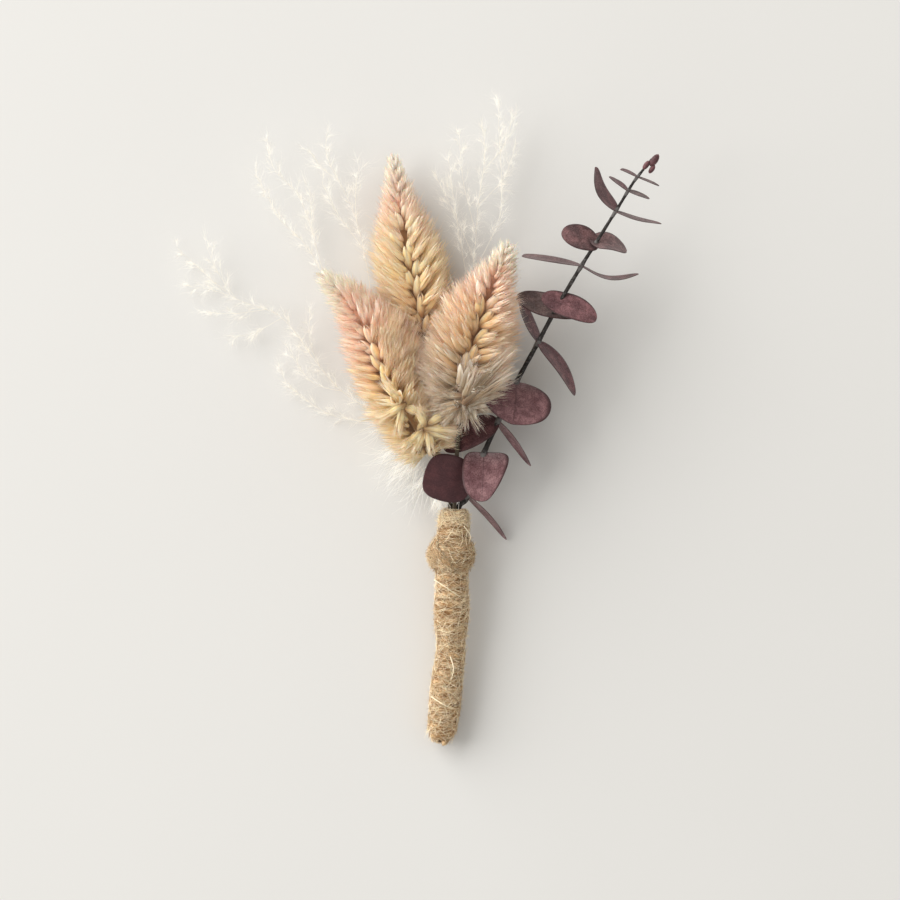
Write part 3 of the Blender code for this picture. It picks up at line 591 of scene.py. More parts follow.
def press(places, spike):
    """Bends what reaches too high or too low back between the table and the ceiling."""
    knee = CEILING - PRESS_DEPTH
    height = places[:, 2]
    high = knee + PRESS_DEPTH * (1 - np.exp(np.minimum(knee - height, 0) / PRESS_DEPTH))
    places[:, 2] = np.clip(np.where(height > knee, high, height), spike["floor"], CEILING)


def florets(heap, roots, ways, ahead, lengths, widths, flares, form, share, rng,
            columns=3, out=1.0):
    """Buds of five scales that wrap round each other, open at the tip by their flare."""
    count = len(share)
    sideways = unit(np.cross(ways, ahead) + 1e-6)
    upper = np.cross(sideways, ways)
    rows, columns = np.linspace(0, 1, 9), np.linspace(-1, 1, columns)
    girth, span = (np.interp(rows, FORM_ROWS, values) for values in form)
    middle = np.arange(SCALES) * 2 * np.pi / SCALES + rng.uniform(0, 6.3, (count, 1))
    middle = (middle + rng.normal(0, 0.1, (count, SCALES)))[..., None, None]
    theta = middle + columns * span[:, None] * 0.82
    reach = rng.uniform(0.86, 1.04, (count, SCALES))[..., None, None]
    flare = (flares[:, None] * rng.uniform(0.2, 1.6, (count, SCALES)))[..., None, None]
    radius = girth[:, None] * (1 + 0.1 * columns) + flare * rows[:, None] ** 3 * 1.3
    radius = radius * widths[:, None, None, None] / 2
    u = rows[:, None] * reach - np.abs(columns) * 0.03
    length = lengths[:, None, None, None]
    bend = rng.uniform(0.03, 0.16, count)[:, None, None, None]
    wide = (slice(None), None, None, None)
    grids = (roots[wide] + ways[wide] * (u * length)[..., None]
             + ahead[wide] * ((u ** 2 - u) * length * bend)[..., None]
             + sideways[wide] * (radius * np.cos(theta))[..., None]
             + upper[wide] * (radius * np.sin(theta))[..., None])
    grids = grids.reshape(-1, len(rows), len(columns), 3)
    tone = np.repeat(rng.normal(0, 0.5, count), SCALES) + rng.normal(0, 0.25, count * SCALES)
    heap.sheets(grids, along=np.repeat(share, SCALES), out=rows[None, :, None] * out, tone=tone,
                edge=columns[None, None])


def silk(heap, roots, ways, lengths, widths, share, each, rng, spread=0.07, grey=0.0, tone=0.3):
    """Silky hairs that cover florets and reach a little past their tips."""
    k = np.repeat(np.arange(len(roots)), each)
    begin = rng.uniform(0.15, 0.8, len(k))
    side = unit(np.cross(ways, UP) + 1e-6)
    turn = rng.uniform(0, 2 * np.pi, len(k))[:, None]
    out = side[k] * np.cos(turn) + np.cross(ways, side)[k] * np.sin(turn)
    off = widths[k] * np.interp(begin, FORM_ROWS, SLENDER[0]) / 2
    starts = roots[k] + ways[k] * (lengths[k] * begin)[:, None] + out * off[:, None]
    reach = lengths[k] * (1.06 - begin) * rng.uniform(0.7, 1.05, len(k))
    points = len(SILK_WIDTHS)
    lines = bent_hairs(starts, stray(ways[k] + out * 0.1, spread, rng), reach, rng, points, 0.1)
    stage = begin[:, None] + (1.02 - begin[:, None]) * np.linspace(0, 1, points)
    heap.ribbons(lines, np.array(SILK_WIDTHS), rng, along=share[k], out=stage,
                 tone=rng.normal(tone, 0.4, len(k)), edge=0.0, grey=grey)


def aim(line, spike, share, angle, rng):
    """Where florets start, which way they go and how far, for their tips to end in place."""
    front = math.radians(spike["front"])
    size = np.interp(share, SHARES, spike["reach"]) * rng.uniform(0.92, 1.03, len(share))
    size = size * (1 + np.minimum(share, 0) * 2.5)
    facing = np.clip(np.cos(angle - front), 0, 1)
    lean = np.radians(np.interp(share, SHARES, spike["lean"]))
    advance = size * np.sqrt(1 - 0.85 * facing ** 2) / np.tan(lean)
    first = spike["roots_from"] * rng.uniform(0, 1.6, len(share))
    start = np.maximum(share - advance / line.length, first)
    below = line.heading(share) * (np.minimum(share, 0) * line.length)[:, None]
    tips = line.at(share) + below + line.across(share, angle) * size[:, None]
    higher = 0.55 * size * facing * np.clip((0.9 - share) / 0.22, 0, 1)
    base = line.at(start) + line.across(start, front) * higher[:, None]
    tips = tips + rng.normal(size=tips.shape) * (0.05 * size)[:, None]
    ways, lengths = unit(tips - base), np.linalg.norm(tips - base, axis=1)
    return base + ways * (lengths * 0.2)[:, None], ways, lengths * 0.8


def grow_open_florets(heap, rows, rng):
    """Florets that stand open in stars near the base, each with its silk."""
    one = np.ones(1)
    for root, tip, wide, flare in rows:
        root = np.array([root]) + rng.normal(0, OPEN_ROOT_STRAY, 3)
        tip = np.array([tip]) + rng.normal(0, OPEN_TIP_STRAY, 3)
        run, toward = np.linalg.norm(tip - root, axis=1), unit(tip - root)
        florets(heap, root, toward, unit(toward + UP), run, wide * one, flare * one, SLENDER,
                OPEN_SHARE * one, rng, 5)
        silk(heap, root, toward, run * 1.1, wide * one, 0.15 * one, HAIRS_AN_OPEN_FLORET, rng,
             0.09, 0.3)


def grow_buds(heap, line, spike, rng):
    """Plump closed buds up the front, by turns a little to the left and to the right."""
    low, high, long, wide, apart = spike["buds"]
    spot = np.arange(low, high, 0.8 * long / line.length / (1 + apart))
    sign = np.where(np.arange(len(spot)) % 2, 1, -1) + rng.normal(0, 0.5, len(spot))
    size = np.interp(spot, SHARES, spike["reach"])
    shrink = np.interp(size, [4, 9], [0.65, 1]) * rng.uniform(0.92, 1.08, len(spot))
    upward, ahead = line.across(spot, math.radians(spike["front"])), line.heading(spot)
    aside = np.cross(upward, ahead) * sign[:, None]
    starts = line.at(spot - 0.5 * long / line.length) + upward * (size * 0.46)[:, None]
    ways = unit(ahead + upward * 0.2 + aside * 0.24 * apart)
    florets(heap, starts + aside * 0.45 * apart, ways, ahead, long * shrink, wide * shrink,
            np.full(len(spot), BUD_FLARE), PLUMP, spot, rng, 5, 0.72)


def grow_spike(side, spike):
    """A core with florets round it in a spiral, locks of silk, and buds along its front."""
    rng = np.random.default_rng(spike["seed"])
    heap = Heap()
    line = Line(spike["core"])
    spots = np.linspace(spike["tips_from"], 1, 300)
    crowd = np.cumsum(np.interp(spots, SHARES, spike["reach"]) ** 0.7 + 1.6)
    turn = np.arange(FLORETS)
    share = np.interp((turn + 0.5) / FLORETS, crowd / crowd[-1], spots)
    angle = turn * GOLDEN_ANGLE + rng.uniform(-0.12, 0.12, len(share))
    low, high = spike["buds"][:2]
    aside = np.cos(angle - math.radians(spike["front"])) < BUD_STRIP
    kept = aside | (share < low) | (share > high)
    share, angle = share[kept], angle[kept]
    roots, ways, lengths = aim(line, spike, share, angle, rng)
    widths = np.interp(lengths, FLORET_LENGTHS, FLORET_WIDTHS) * rng.uniform(0.9, 1.15, len(share))
    flares = rng.uniform(0.1, 0.4, len(share)) + (rng.random(len(share)) < 0.12) * 0.5
    florets(heap, roots, ways, line.heading(share), lengths, widths, flares, SLENDER, share, rng)
    silk(heap, roots, ways, lengths, widths, share, HAIRS_A_FLORET, rng)
    silk(heap, roots, ways, lengths * 1.12, widths, share, LONG_HAIRS_A_FLORET, rng, 0.12, 0.0, 1.6)
    count, shares, turns = spike["locks"]
    lock = rng.uniform(*shares, count)
    angle = np.radians(rng.uniform(*turns, count))
    grow_open_florets(heap, spike["open"], rng)
    roots, ways, lengths = aim(line, spike, lock, angle, rng)
    silk(heap, roots, ways, lengths, np.full(count, LOCK_WIDTH), lock * 0.6, HAIRS_A_LOCK, rng,
         0.1, 0.6)
    grow_buds(heap, line, spike, rng)
    rows = np.linspace(max(spike["tips_from"], 0), 0.97, 30)
    core = 0.16 * np.interp(rows, SHARES, spike["reach"]) + 0.2
    heap.rod(line.at(rows), core, 10, along=rows, out=0.0)
    for part in heap.places:
        press(part, spike)
    paint = celosia_paint("celosia " + side, spike["colours"])
    heap.piece("celosia_spike_" + side, paint, "celosia", "celosia_head_" + side)


for side, spike in SPIKES.items():
    grow_spike(side, spike)


# The eucalyptus sprig. One dark stem with a waxy bloom carries pairs of round, leathery
# burgundy leaves that grow straight out of it, and closed buds at its tip.

SPRIG_STEM = [
    (12.4, -19.5, 9.0), (13.3, -17, 9.4), (16.75, -8.25, 10.7), (20.5, 0.25, 12), (25.25, 10.25, 13.5),
    (30.25, 19.5, 15), (35.5, 29.25, 16.5), (41, 38.5, 17.9), (45.25, 45.25, 18.9), (50.25, 53.25, 20.2),
    (53.75, 59, 21), (56, 62, 21.4), (58.6, 65.2, 21.8),
]
SPRIG_RADII = (0.58, 0.6, 0.66, 0.64, 0.56, 0.45, 0.3)
JOINT_SWELL = 0.28
JOINT_LENGTH = 0.9
# Pairs of leaves from the tip down: the Y of the joint, the leaf's tip, its width, how far it
# is rolled in degrees, how much of it lies behind the stem, its arch, and how pointed it is.
LEAVES = [
    (60.6, (50.8, 62.6, 22.3), 3.2, 75, 0, 0.03, 0.2), (60.6, (60.4, 58.6, 20.8), 2.6, -75, 0, 0, 0.6),
    (57.2, (48, 60.8, 21.6), 4.6, 75, 0, 0, 0.5), (57.2, (58, 55.4, 20.2), 4, -72, 0, 0, 0.7),
    (52.4, (44.6, 63.2, 21.4), 7, 62, 0, -0.13, 0.7), (52.1, (61, 49.2, 19.4), 5.5, -78, 0, -0.04, 1.0),
    (44, (36.2, 46.8, 21.2), 7.4, 36, 0.1, 0.06, 0), (44.2, (52.4, 42.6, 16.2), 8.5, -58, 0.2, 0.1, 0.4),
    (38.5, (26.4, 41.2, 17.6), 5.5, 76, 0, 0, -0.7), (38.5, (55.4, 36.8, 15.6), 7, -80, 0, -0.16, 0.8),
    (29.25, (44.8, 25.2, 18.6), 7.8, -38, 0.46, 0.08, 0.1),
    (28.1, (25, 31.2, 13.5), 8.6, 42, 0.6, -0.03, 0.3),
    (19.5, (25.6, 31.8, 12.6), 8.5, 70, 0, -0.04, 0.5), (19.5, (39.6, 6.6, 12), 7.5, -62, 0, 0.06, 0.6),
    (9.8, (24, -0.6, 21), 18.6, -14, 0.02, 0.05, 0), (9.2, (25.6, 3.1, 0.13), 8.6, -20, 0, 0.09, 0),
    (0.25, (7, -6.8, 9.4), 8, 22, 0, 0.04, 0.4), (0.25, (28.6, -11, 7), 6.6, 72, 0, -0.03, 0.9),
    (-8.25, (16.4, -19.8, 15.4), 13.4, 0, 0.03, 0.05, 1.25), (-8.25, (18, -14, 3.2), 9, -20, 0, 0.09, 0),
    (-16.6, (2.4, -12, 14), 11.3, 8, 0, 0.06, -0.4), (-18.2, (22.6, -29.4, 0.85), 4.8, 70, 0, -0.03, 0.9),
]
# What sets single leaves apart, by their place in the list: pale bloom, painted shade for
# the light each leaf lies in, how far the dull under side's colour shows on top, the rise of
# the root, fullness with lopsidedness, and whose under side is as bright as the top.
LEAF_BLOOM = {4: 0.5, 5: 0.5, 6: 0.25, 7: 0.5, 8: 0.6, 10: 0.5, 11: 0.0, 14: 0.85, 16: 0.35,
              17: 1.2, 18: 0.95, 20: 0.0, 21: 1.2}
LEAF_PAINTED_SHADE = {11: 0.2, 17: 0.0, 20: 0.9, 21: 0.0}
LEAF_DULLNESS = {1: 0.7, 3: 0.7, 5: 0.5, 6: 0.3, 7: 0.45, 8: 0.5, 9: 0.35, 11: 0.9}
LEAF_RISE = {10: 1.3, 11: -1.6}
LEAF_FORM = {14: (0.96, 0.04), 18: (0.36, -0.2), 20: (0.6, 0.1)}
BRIGHT_BELOW = (17, 21)
LEAF_ROWS, LEAF_COLUMNS = 30, 15
LEAF_THICKNESS = 0.26
LEAF_CUP = 0.14
BUD_WAY = (0.57, 0.8, 0.15)
BUDS = [(59.2, 64.9, 21.9, 1.1), (57.2, 63.7, 21.8, 0.8), (58.6, 62.7, 21.5, 0.75)]


def leaf_paint():
    """Leathery leaves: a midrib, veins, a fine net, speckles, a dark rim and a pale bloom."""
    paint = Paint("eucalyptus leaf", Specular_IOR_Level=0.4, Sheen_Weight=0.15)
    along, aside = paint.mark("along"), abs(paint.mark("across"))
    under, tone, bloom = paint.mark("under"), paint.mark("tone"), paint.mark("bloom")
    speckle = paint.grain(0.28, detail=3)
    cloud = paint.grain(2.6)
    body = paint.mix(paint.fade(cloud, 0.3, 0.75), (0.055, 0.015, 0.02), (0.22, 0.07, 0.075))
    waxy = paint.mix(paint.fade(cloud, 0.3, 0.7), (0.19, 0.08, 0.09), (0.37, 0.2, 0.21))
    body = paint.mix(bloom, body, waxy)
    frost = paint.fade(along, 0.0, 0.4, 0.6, 0) * paint.fade(bloom, 0.5, 0.9)
    body = paint.mix(frost, body, (0.42, 0.34, 0.34))
    back = paint.mix(paint.fade(cloud, 0.35, 0.7), (0.14, 0.11, 0.1), (0.26, 0.2, 0.18))
    body = paint.mix(under * 0.85, body, back)
    body = paint.mix(paint.fade(speckle, 0.48, 0.66) * 0.5, body, (0.3, 0.12, 0.13), "MULTIPLY")
    body = paint.mix(paint.fade(speckle, 0.3, 0.46, 1, 0) * 0.16, body, (0.5, 0.33, 0.33))
    ribs = along * 9 - aside * 4.2 + (cloud - 0.5) * 0.6
    rib = abs(ribs.math("FRACT", ribs) - 0.5)
    side_vein = paint.fade(rib, 0.0, 0.09, 1, 0) * paint.fade(aside, 0.85, 1.0, 1, 0)
    midrib = paint.fade(aside, 0.0, 0.05, 1, 0)
    veins = midrib.math("MAXIMUM", midrib, side_vein * 0.5)
    net = paint.fade(abs(paint.grain(1.3, detail=3) - 0.5), 0.0, 0.05, 1, 0)
    body = paint.mix(veins * 0.4, body, (0.055, 0.018, 0.022))
    body = paint.mix(net * 0.7, body, (0.42, 0.3, 0.3), "MULTIPLY")
    rim = paint.fade(aside, 0.84, 0.98)
    body = paint.mix(rim * 0.85, body, (0.05, 0.018, 0.02))
    # The tone darkens each leaf: by chance on most, and as painted shade on the few set for the light they
    # lie in.
    body = paint.mix(tone * 0.85, body, (0.07, 0.022, 0.026))
    height = speckle * 0.4 - veins * 0.6 - net * 0.12 + cloud * 0.5
    return paint.finish(body, 0.5 + 0.15 * speckle, height, 0.12, 0.7)


def sprig_paint():
    """Dark bark with a pale waxy bloom at the joints."""
    paint = Paint("eucalyptus stem", Specular_IOR_Level=0.2)
    joint = paint.mark("joint")
    streaks = paint.grain(0.25, (1, 0.25, 1))
    spots = paint.grain(0.8)
    bark = paint.mix(streaks, (0.012, 0.01, 0.009), (0.05, 0.044, 0.041))
    wax = paint.fade(spots + joint * 0.4, 0.5, 0.85)
    return paint.finish(paint.mix(wax * 0.45, bark, (0.34, 0.32, 0.31)), 0.6, streaks, 0.08)


def leaf_ring(root, tip, width, roll, back, arch, point, rng, fullness=0.86, skew=0.0):
    """A leaf as a flat closed tube: the upper face one way across, the under face back.

    It bends along its length by its arch, and its outer end is blunt or drawn to a point.
    """
    rows, columns = np.linspace(0, 1, LEAF_ROWS), np.linspace(-1, 1, LEAF_COLUMNS)
    r, v = np.meshgrid(rows, columns, indexing="ij")
    ahead, length = unit(tip - root), np.linalg.norm(tip - root)
    side = unit(np.cross(ahead, UP))
    roll = math.radians(roll)
    side = side * math.cos(roll) + np.cross(ahead, side) * math.sin(roll)
    face = np.cross(side, ahead)
    turn = np.pi * r
    along = (1 - np.cos(turn)) / 2 * (1 + back) - back
    wavy = 1 + 0.035 * np.sin(turn * 3 + rng.uniform(0, 6)) * np.sin(v * 2 + rng.uniform(0, 6))
    form = np.sin(turn) ** (fullness + 0.25 * point * (turn > 1.57))
    form = form * (1 - 0.35 * point * (1 - np.cos(turn)) / 2)
    half = np.maximum(0.5 * width * form * wavy * (1 + skew * v * np.cos(turn)), 0.05)
    rise = length * arch * np.sin(np.pi * np.maximum(along, 0)) + LEAF_CUP * half * v * v
    ripple = np.sin(v * 3.1 + rng.uniform(0, 6)) * np.sin(turn * 2.3 + rng.uniform(0, 6))
    rise = rise + 0.018 * width * ripple * np.sin(turn)
    places = (root + ahead * (along * length)[..., None] + side * (half * v)[..., None]
              + face * rise[..., None])
    normal = unit(np.cross(np.gradient(places, axis=1), np.gradient(places, axis=0)))
    thick = LEAF_THICKNESS / 2 * np.sqrt(np.clip(1.04 - v ** 2 * 0.9, 0, 1))[..., None]
    upper, lower = places + normal * thick, places - normal * thick
    ring = np.concatenate([upper, lower[:, ::-1]], 1)
    across = np.concatenate([v, v[:, ::-1]], 1)
    under = np.concatenate([np.zeros_like(v), np.ones_like(v)], 1)
    return ring[None], dict(along=r[None, :, :1], across=across[None], under=under[None])


rng = np.random.default_rng(41)
heap = Heap()
sprig = Line(in_handle(0, THICK_STEM_OFFSET) + SPRIG_STEM)
share = np.linspace(0, 1, 420)
places = sprig.at(share)
radius = np.interp(share, np.linspace(0, 1, len(SPRIG_RADII)), SPRIG_RADII)
joint = np.zeros(len(share))
for y in sorted({leaf[0] for leaf in LEAVES}):
    joint = np.maximum(joint, np.exp(-((places[:, 1] - y) / JOINT_LENGTH) ** 2))
radius = radius * (1 + JOINT_SWELL * joint + 0.04 * np.sin(share * 190))
heap.rod(places, radius, 12, joint=joint)
heap.piece("sprig_stem", sprig_paint(), "eucalyptus", "eucalyptus_sprig")

heap = Heap()
for i, (y, tip, *form) in enumerate(LEAVES):
    root = places[np.argmax(places[:, 1] >= y)] + UP * LEAF_RISE.get(i, 0)
    ring, marks = leaf_ring(root, np.array(tip), *form, rng, *LEAF_FORM.get(i, ()))
    marks["under"] = np.maximum(marks["under"] * (i not in BRIGHT_BELOW), LEAF_DULLNESS.get(i, 0))
    # Painted shade for the light a leaf lies in where one is set, otherwise a random tone.
    tone = LEAF_PAINTED_SHADE.get(i, rng.uniform(0, 0.3))
    heap.sheets(ring, True, tone=tone, bloom=LEAF_BLOOM.get(i, 0.3), **marks)
for *middle, size in BUDS:
    t = np.linspace(-1, 1, 11)
    radii = size * 0.82 * np.sqrt(1 - t ** 2) ** 1.2 + 0.02
    line = np.array(middle) + unit(np.array(BUD_WAY)) * (t * 1.7 * size)[:, None]
    heap.rod(line, radii, 9, along=0.5, across=0.4, under=0.0, tone=0.2, bloom=0.2)
heap.piece("sprig_leaves", leaf_paint(), "eucalyptus")


# The jute wrap. One length of twine, three strands twisted together, is wound tightly
# round all the stems, turn beside turn. It is so hairy that loose fibres, which lie over it
# in all ways, nearly hide the turns.

TWINE_RADIUS = 0.93
TWINE_TURNS = 26
WRAP_RADII = [0.7, 2.75, 2.85, 3.0, 2.95, 2.85, 2.65, 2.6, 3.15, 3.45, 3.25, 3.15, 3.15, 3.15,
              3.15, 2.95, 2.3]
POINTS_A_TURN = 40
TWIST_LENGTH = 4.6
STRANDS = 3
STRAND_SIDES = 7
LINING_ROWS, LINING_COLUMNS = 180, 36
FIBRE_FORM = (0.4, 1, 1, 0.9, 0.3)
HAIRS_ON_WRAP = 4500
END_ROUNDING = 1.3
STRAY_RADII = (0.16, 0.07)
# Stiff stray fibres that lie loose over the wrap.
STRAYS = [
    ((4.6, -39.3, 11.5), (8, -41.5, 13), (11.3, -43.8, 11)),
    ((8.6, -58.5, 10), (9.4, -61.5, 10.6), (8.7, -64.5, 9.4)),
    ((3.8, -68.5, 7), (7, -70.5, 10), (10.2, -72, 6.4)),
    ((12, -26, 12), (13.6, -28.5, 10.5), (12.6, -31.5, 10)),
]
JUTE_CLEARANCE = 0.02


def jute_paint():
    """Coarse plant fibre: streaks along each strand, cream to straw to brown, and dull."""
    paint = Paint("jute", Specular_IOR_Level=0.15,
                  Subsurface_Weight=0.05, Subsurface_Scale=0.3 * MM)
    run, turn, tone = paint.mark("run"), paint.mark("turn"), paint.mark("tone")
    where = paint.node("CombineXYZ", {}, {0: run * 0.35 * MM, 1: turn * 1.4 * MM, 2: tone * MM})
    fibre = paint.grain(0.22, where=where, detail=3)
    patch = paint.grain(1.7)
    straw = paint.mix(paint.fade(fibre, 0.3, 0.7), (0.37, 0.2, 0.08), (0.86, 0.62, 0.36))
    body = paint.mix(paint.fade(tone + patch * 0.6, 0.3, 1.5), straw, (1.0, 0.87, 0.63))
    body = paint.mix(paint.fade(patch - tone * 0.6, 0.42, 0.75) * 0.75, body, (0.25, 0.125, 0.05))
    return paint.finish(body, 0.9, fibre, 0.12, 0.8)


def slow_noise(count, step, rng):
    """Smooth random values, with a new one every so many places."""
    knots = rng.normal(size=int(count / step) + 3)
    return np.interp(np.arange(count) / step, np.arange(len(knots)), knots)


def twine(heap, middle, outward, radius, rng, flat, wide):
    """Three strands twisted together along a line, thicker in some places than others."""
    length = np.concatenate([[0], np.cumsum(np.linalg.norm(np.diff(middle, axis=0), axis=1))])
    way = unit(np.gradient(middle, axis=0))
    aside = unit(np.cross(way, outward))
    for strand in range(STRANDS):
        turn = 2 * np.pi * (length / TWIST_LENGTH + strand / STRANDS)
        turn = turn + 0.3 * slow_noise(len(middle), 9, rng)
        swell = 1 + 0.1 * slow_noise(len(middle), 7, rng)
        offset = outward * (flat * np.cos(turn))[:, None] + aside * (wide * np.sin(turn))[:, None]
        line = middle + offset * (radius * swell)[:, None]
        thick = 0.56 * radius * (1 + 0.12 * slow_noise(len(middle), 5, rng))
        heap.rod(line, thick, STRAND_SIDES, outward, run=length + strand * 50,
                 turn=np.arange(STRAND_SIDES)[None] / STRAND_SIDES,
                 tone=0.3 * slow_noise(len(middle), 20, rng))


def fuzz(heap, middle, outward, radius, count, rng, reach=(1.6, 4.5), lift=0.5, tone=0.5):
    """Fine fibres that wind along the twine at a slant and curl off it at their ends."""
    way = unit(np.gradient(middle, axis=0))
    aside = unit(np.cross(way, outward))
    pace = np.mean(np.linalg.norm(np.diff(middle, axis=0), axis=1))
    t = np.linspace(0, 1, 5)
    lengths = rng.uniform(*reach, count)
    start = rng.uniform(0, len(middle) - 1, count)[:, None]
    spot = start + (t - 0.5) * (lengths / pace * rng.choice([-1, 1], count))[:, None]
    spot = np.clip(spot, 0, len(middle) - 1.001)
    row = spot.astype(int)
    part = (spot - row)[..., None]
    centre = middle[row] * (1 - part) + middle[row + 1] * part
    turn = rng.uniform(0, 2 * np.pi, (count, 1)) + (t - 0.5) * rng.uniform(-2.4, 2.4, (count, 1))
    high = radius * 1.04 + 0.03 + (np.abs(t - 0.5) * 2) ** 3 * rng.exponential(lift / 3, (count, 1))
    ring = outward[row] * np.cos(turn)[..., None] + aside[row] * np.sin(turn)[..., None]
    widths = rng.uniform(0.025, 0.06, (count, 1)) * FIBRE_FORM
    heap.ribbons(centre + ring * np.minimum(high, radius + 1)[..., None], widths, rng, run=0.0,
                 turn=0.0, tone=rng.normal(tone, 0.55, count))


def handle_ring(along, angle, out):
    """Places round the handle's axis, and the ways out from it."""
    share = along / handle.length
    ways = handle.across(share, angle)
    return handle.at(share) + ways * out[..., None], ways


def lay_twine(heap, along, angle, out, radius, hairs, rng, form=(0.4, 0.5), taper=1.0, **curls):
    """Twine with its hairs, at lengths along the handle, angles round it and heights off it."""
    middle, outward = handle_ring(along, angle, out)
    twine(heap, middle, outward, radius * taper, rng, *form)
    fuzz(heap, middle, outward, radius, hairs, rng, **curls)


def wrap_radius(along):
    """The radius of the wrap's middle line at a length along the handle."""
    return np.interp(along / handle.length, np.linspace(0, 1, len(WRAP_RADII)), WRAP_RADII)


def cover(heap, count, span, reach, slant, over, rng, tone=0.45, lift=0.15, rise=None):
    """Fibres that lie over the wound twine, each at its own slant to the turns."""
    t = np.linspace(0, 1, 5)
    lengths = rng.uniform(*reach, count)[:, None]
    tilt = np.radians(rng.normal(0, slant, count))[:, None]
    start = rng.uniform(*span, count)[:, None]
    out = wrap_radius(start) + TWINE_RADIUS + over + (rise(start) if rise else 0.0)
    along = start + np.sin(tilt) * lengths * (t - 0.5) + 0.12 * np.sin(t * 5 + start * 9)
    angle = rng.uniform(0, 2 * np.pi, (count, 1)) + np.cos(tilt) * lengths * (t - 0.5) / out
    off = rng.uniform(-0.2, 0.1, (count, 1))
    off = off + (np.abs(t - 0.5) * 2) ** 3 * rng.exponential(lift, (count, 1))
    along = np.clip(along, 0.2, handle.length - 0.05)
    near = np.clip(1 - np.minimum(along, handle.length - along) / 1.5, 0, 1)
    out = out - END_ROUNDING * (1 - np.sqrt(1 - near ** 2))
    lines, _ = handle_ring(along, angle, out + np.minimum(off, 1))
    widths = rng.uniform(0.022, 0.055, (count, 1)) * FIBRE_FORM
    heap.ribbons(lines, widths, rng, run=0.0, turn=0.0, tone=rng.normal(tone, 0.55, count))


rng = np.random.default_rng(53)
heap = Heap()
along = np.linspace(0.5, handle.length - 0.5, LINING_ROWS)[:, None]
angle = np.linspace(0, 2 * np.pi, LINING_COLUMNS, endpoint=False)[None]
bumps = 0.14 * rng.normal(size=(LINING_ROWS, LINING_COLUMNS))
lining, _ = handle_ring(along, angle, wrap_radius(along) + 0.3 + bumps)
heap.sheets(lining[None], True, run=along[None], turn=angle[None], tone=bumps[None] - 0.7)
turns = np.arange(TWINE_TURNS * POINTS_A_TURN + 1) / POINTS_A_TURN
pitch = (handle.length - 2 * TWINE_RADIUS) / TWINE_TURNS
along = TWINE_RADIUS + pitch * turns + 0.16 * slow_noise(len(turns), 31, rng)
out = wrap_radius(along) + 0.07 * slow_noise(len(turns), 17, rng)
lay_twine(heap, along, -2 * np.pi * turns, out, TWINE_RADIUS, HAIRS_ON_WRAP, rng)
cover(heap, 5200, (0.1, handle.length), (1.0, 3.2), 38, -0.02, rng)
cover(heap, 1500, (1, handle.length - 1), (2.5, 6), 60, 0.08, rng, 1.2, 0.3)
cover(heap, 600, (handle.length - 4, handle.length), (1, 3), 50, 0.1, rng, 1.5, 0.5)
for places in STRAYS:
    strand = Line(places).at(np.linspace(0, 1, 14))
    heap.rod(strand, np.linspace(*STRAY_RADII, 14), 5, run=0.0, turn=0.0, tone=1.3)
end, _ = handle_ring(*np.array([(0.9, 0.5, -0.2), (1.2, 1.0, 0.8), (2.6, 2.2, 1.2)]))
heap.rod(end, np.array([0.5, 0.5, 0.3]), 7, run=0.0, turn=0.0, tone=0.2)
heap.stay_above(JUTE_CLEARANCE)
fibre_paint = jute_paint()
heap.piece("jute_twine", fibre_paint, "jute", "jute_wrap")


# The tie. Near the top of the handle jute twine goes round three times more over the wrap,
# crosses itself at a slant and ends in a small fuzzy knot of three loops at the left.

TIE_RADIUS = 0.78
TIE_FROM = 44.9
TIE_TURNS = 3.3
TIE_PITCH = 1.78
TIE_LEAN = 0.7
TIE_SPREAD = 3.9
CROSSING_LENGTH = 7.5
CROSSING_SWEEP = math.radians(75)
KNOT_ANGLE = math.radians(158)
KNOT_LENGTH = 5.6
KNOT_SHIFT = -0.5
# The knot's loops: their turn from the knot's angle, their share of its length, their radius.
KNOT_LOOPS = [(0.0, 1.0, 0.85), (0.22, 0.8, 0.75), (-0.24, 0.7, 0.75)]
HAIRS_ON_TIE = 900
HAIRS_ON_CROSSING = 300
HAIRS_ON_LOOP = 1100

rng = np.random.default_rng(67)
heap = Heap()
centre = TIE_FROM + TIE_PITCH * TIE_TURNS / 2


def tie_rise(along):
    """How far the tied turns stand off the wrap, which falls off to both sides."""
    share = np.clip((along - centre) / TIE_SPREAD, -1, 1)
    return 2 * TIE_RADIUS * np.cos(share * np.pi / 2) ** 0.8


turns = np.linspace(0, TIE_TURNS, 150)
angle = 2 * np.pi * turns
along = TIE_FROM + TIE_PITCH * turns + TIE_LEAN * np.sin(angle)
out = wrap_radius(along) + TWINE_RADIUS + tie_rise(along) - TIE_RADIUS * 0.8
lay_twine(heap, along, -angle, out, TIE_RADIUS, HAIRS_ON_TIE, rng, (0.3, 0.7))
cover(heap, 2600, (centre - 4.2, centre + 4.2), (1.6, 4), 24, 0.0, rng, 0.3, 0.2, tie_rise)
cover(heap, 300, (centre - 3, centre + 3), (2.5, 5), 60, 0.1, rng, 1.0, 0.3, tie_rise)
k = np.linspace(0, 1, 40)
along = centre + (k - 0.5) * CROSSING_LENGTH
out = wrap_radius(along) + TWINE_RADIUS + tie_rise(along) + 0.1 + 0.3 * np.sin(np.pi * k)
lay_twine(heap, along, KNOT_ANGLE - CROSSING_SWEEP * (1 - k), out, TIE_RADIUS * 0.8,
          HAIRS_ON_CROSSING, rng, taper=np.sin(np.pi * (0.08 + 0.84 * k)) ** 0.6)
for turn, long, thick in KNOT_LOOPS:
    along = centre + KNOT_SHIFT + (k - 0.5) * KNOT_LENGTH * long
    out = wrap_radius(along) + TWINE_RADIUS + 0.3 + 0.75 * np.sin(np.pi * k)
    lay_twine(heap, along, KNOT_ANGLE + turn + 0.25 * (k - 0.5), out, thick, HAIRS_ON_LOOP, rng,
              (0.45, 0.6), np.sin(np.pi * (0.04 + 0.92 * k)) ** 0.7, reach=(1, 2.8), lift=1.2,
              tone=0.6)
heap.piece("jute_knot", fibre_paint, "jute", "jute_tie")


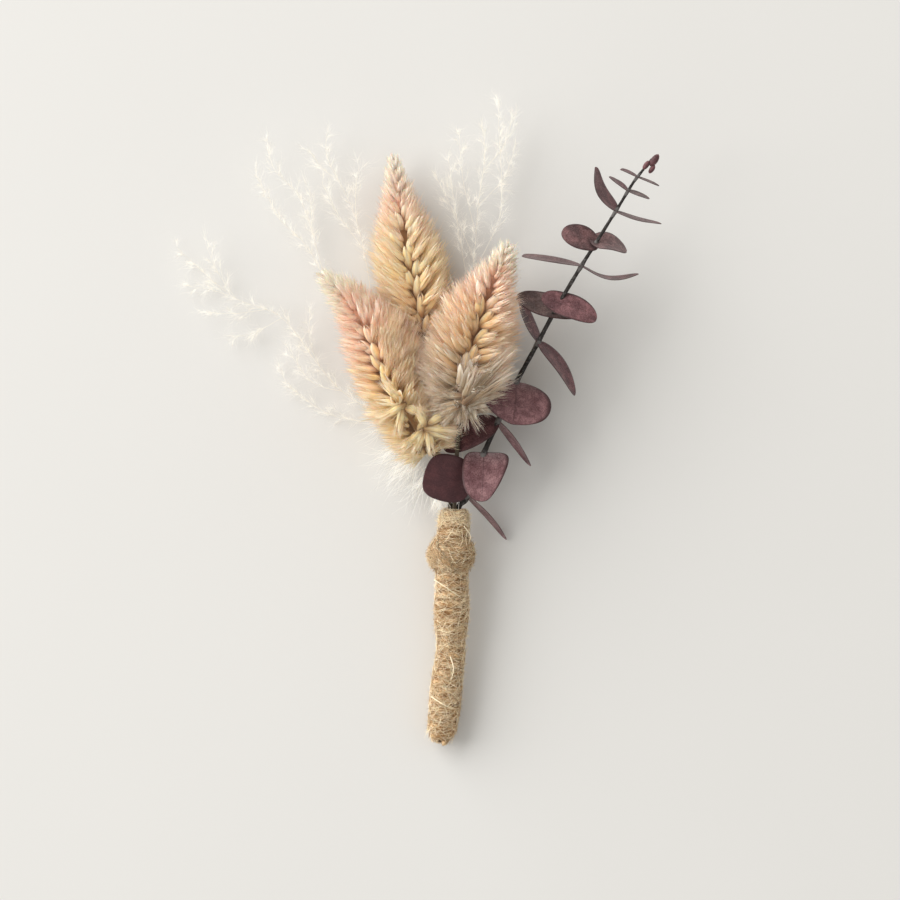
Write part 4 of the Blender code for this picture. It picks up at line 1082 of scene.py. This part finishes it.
# The table top, the soft light from the upper left, and the camera straight above, which
# sees the bouquet at the same size as the photograph does.

TABLE_SIZE = 6.0
WINDOW_SIZE = (2.8, 2.3)
WINDOW_POWER = 66
WINDOW_COLOUR = (1.0, 0.985, 0.965)
WINDOW_AZIMUTH = math.radians(152)
WINDOW_ELEVATION = math.radians(28)
WINDOW_DISTANCE = 2.0
ROOM_COLOUR = (1.0, 0.985, 0.95, 1)
ROOM_STRENGTH = 0.57
VIEW_MIDDLE = (8.5, -7.0)
VIEW_WIDTH = 225
CAMERA_HEIGHT = 3000
SENSOR = 36

table = bpy.data.meshes.new("table")
half = TABLE_SIZE / 2
corners = [(-half, -half, 0), (half, -half, 0), (half, half, 0), (-half, half, 0)]
table.from_pydata(corners, [], [(0, 1, 2, 3)])
paint = Paint("table top", Specular_IOR_Level=0.2)
tint = paint.mix(paint.grain(60), (0.755, 0.748, 0.728), (0.77, 0.763, 0.743))
table.materials.append(paint.finish(tint, 0.8).material)
floor = bpy.data.objects.new("table_top", table)
bpy.context.scene.collection.objects.link(floor)

lamp = bpy.data.lights.new("window", "AREA")
lamp.shape = "RECTANGLE"
lamp.size, lamp.size_y = WINDOW_SIZE
lamp.energy, lamp.color = WINDOW_POWER, WINDOW_COLOUR
light = bpy.data.objects.new("window", lamp)
bpy.context.scene.collection.objects.link(light)
level = math.cos(WINDOW_ELEVATION) * WINDOW_DISTANCE
light.location = (math.cos(WINDOW_AZIMUTH) * level, math.sin(WINDOW_AZIMUTH) * level,
                  math.sin(WINDOW_ELEVATION) * WINDOW_DISTANCE)
light.rotation_euler = (math.pi / 2 - WINDOW_ELEVATION, 0, WINDOW_AZIMUTH + math.pi / 2)
world = bpy.data.worlds.new("room")
bpy.context.scene.world = world
world.use_nodes = True
sky = world.node_tree.nodes["Background"].inputs
sky["Color"].default_value, sky["Strength"].default_value = ROOM_COLOUR, ROOM_STRENGTH

lens = bpy.data.cameras.new("camera")
lens.sensor_width = SENSOR
lens.lens = SENSOR * CAMERA_HEIGHT / VIEW_WIDTH
lens.clip_end = 100
camera = bpy.data.objects.new("camera", lens)
camera.location = (VIEW_MIDDLE[0] * MM, VIEW_MIDDLE[1] * MM, CAMERA_HEIGHT * MM)
bpy.context.scene.collection.objects.link(camera)
bpy.context.scene.camera = camera
bpy.context.scene.view_settings.view_transform = "Standard"
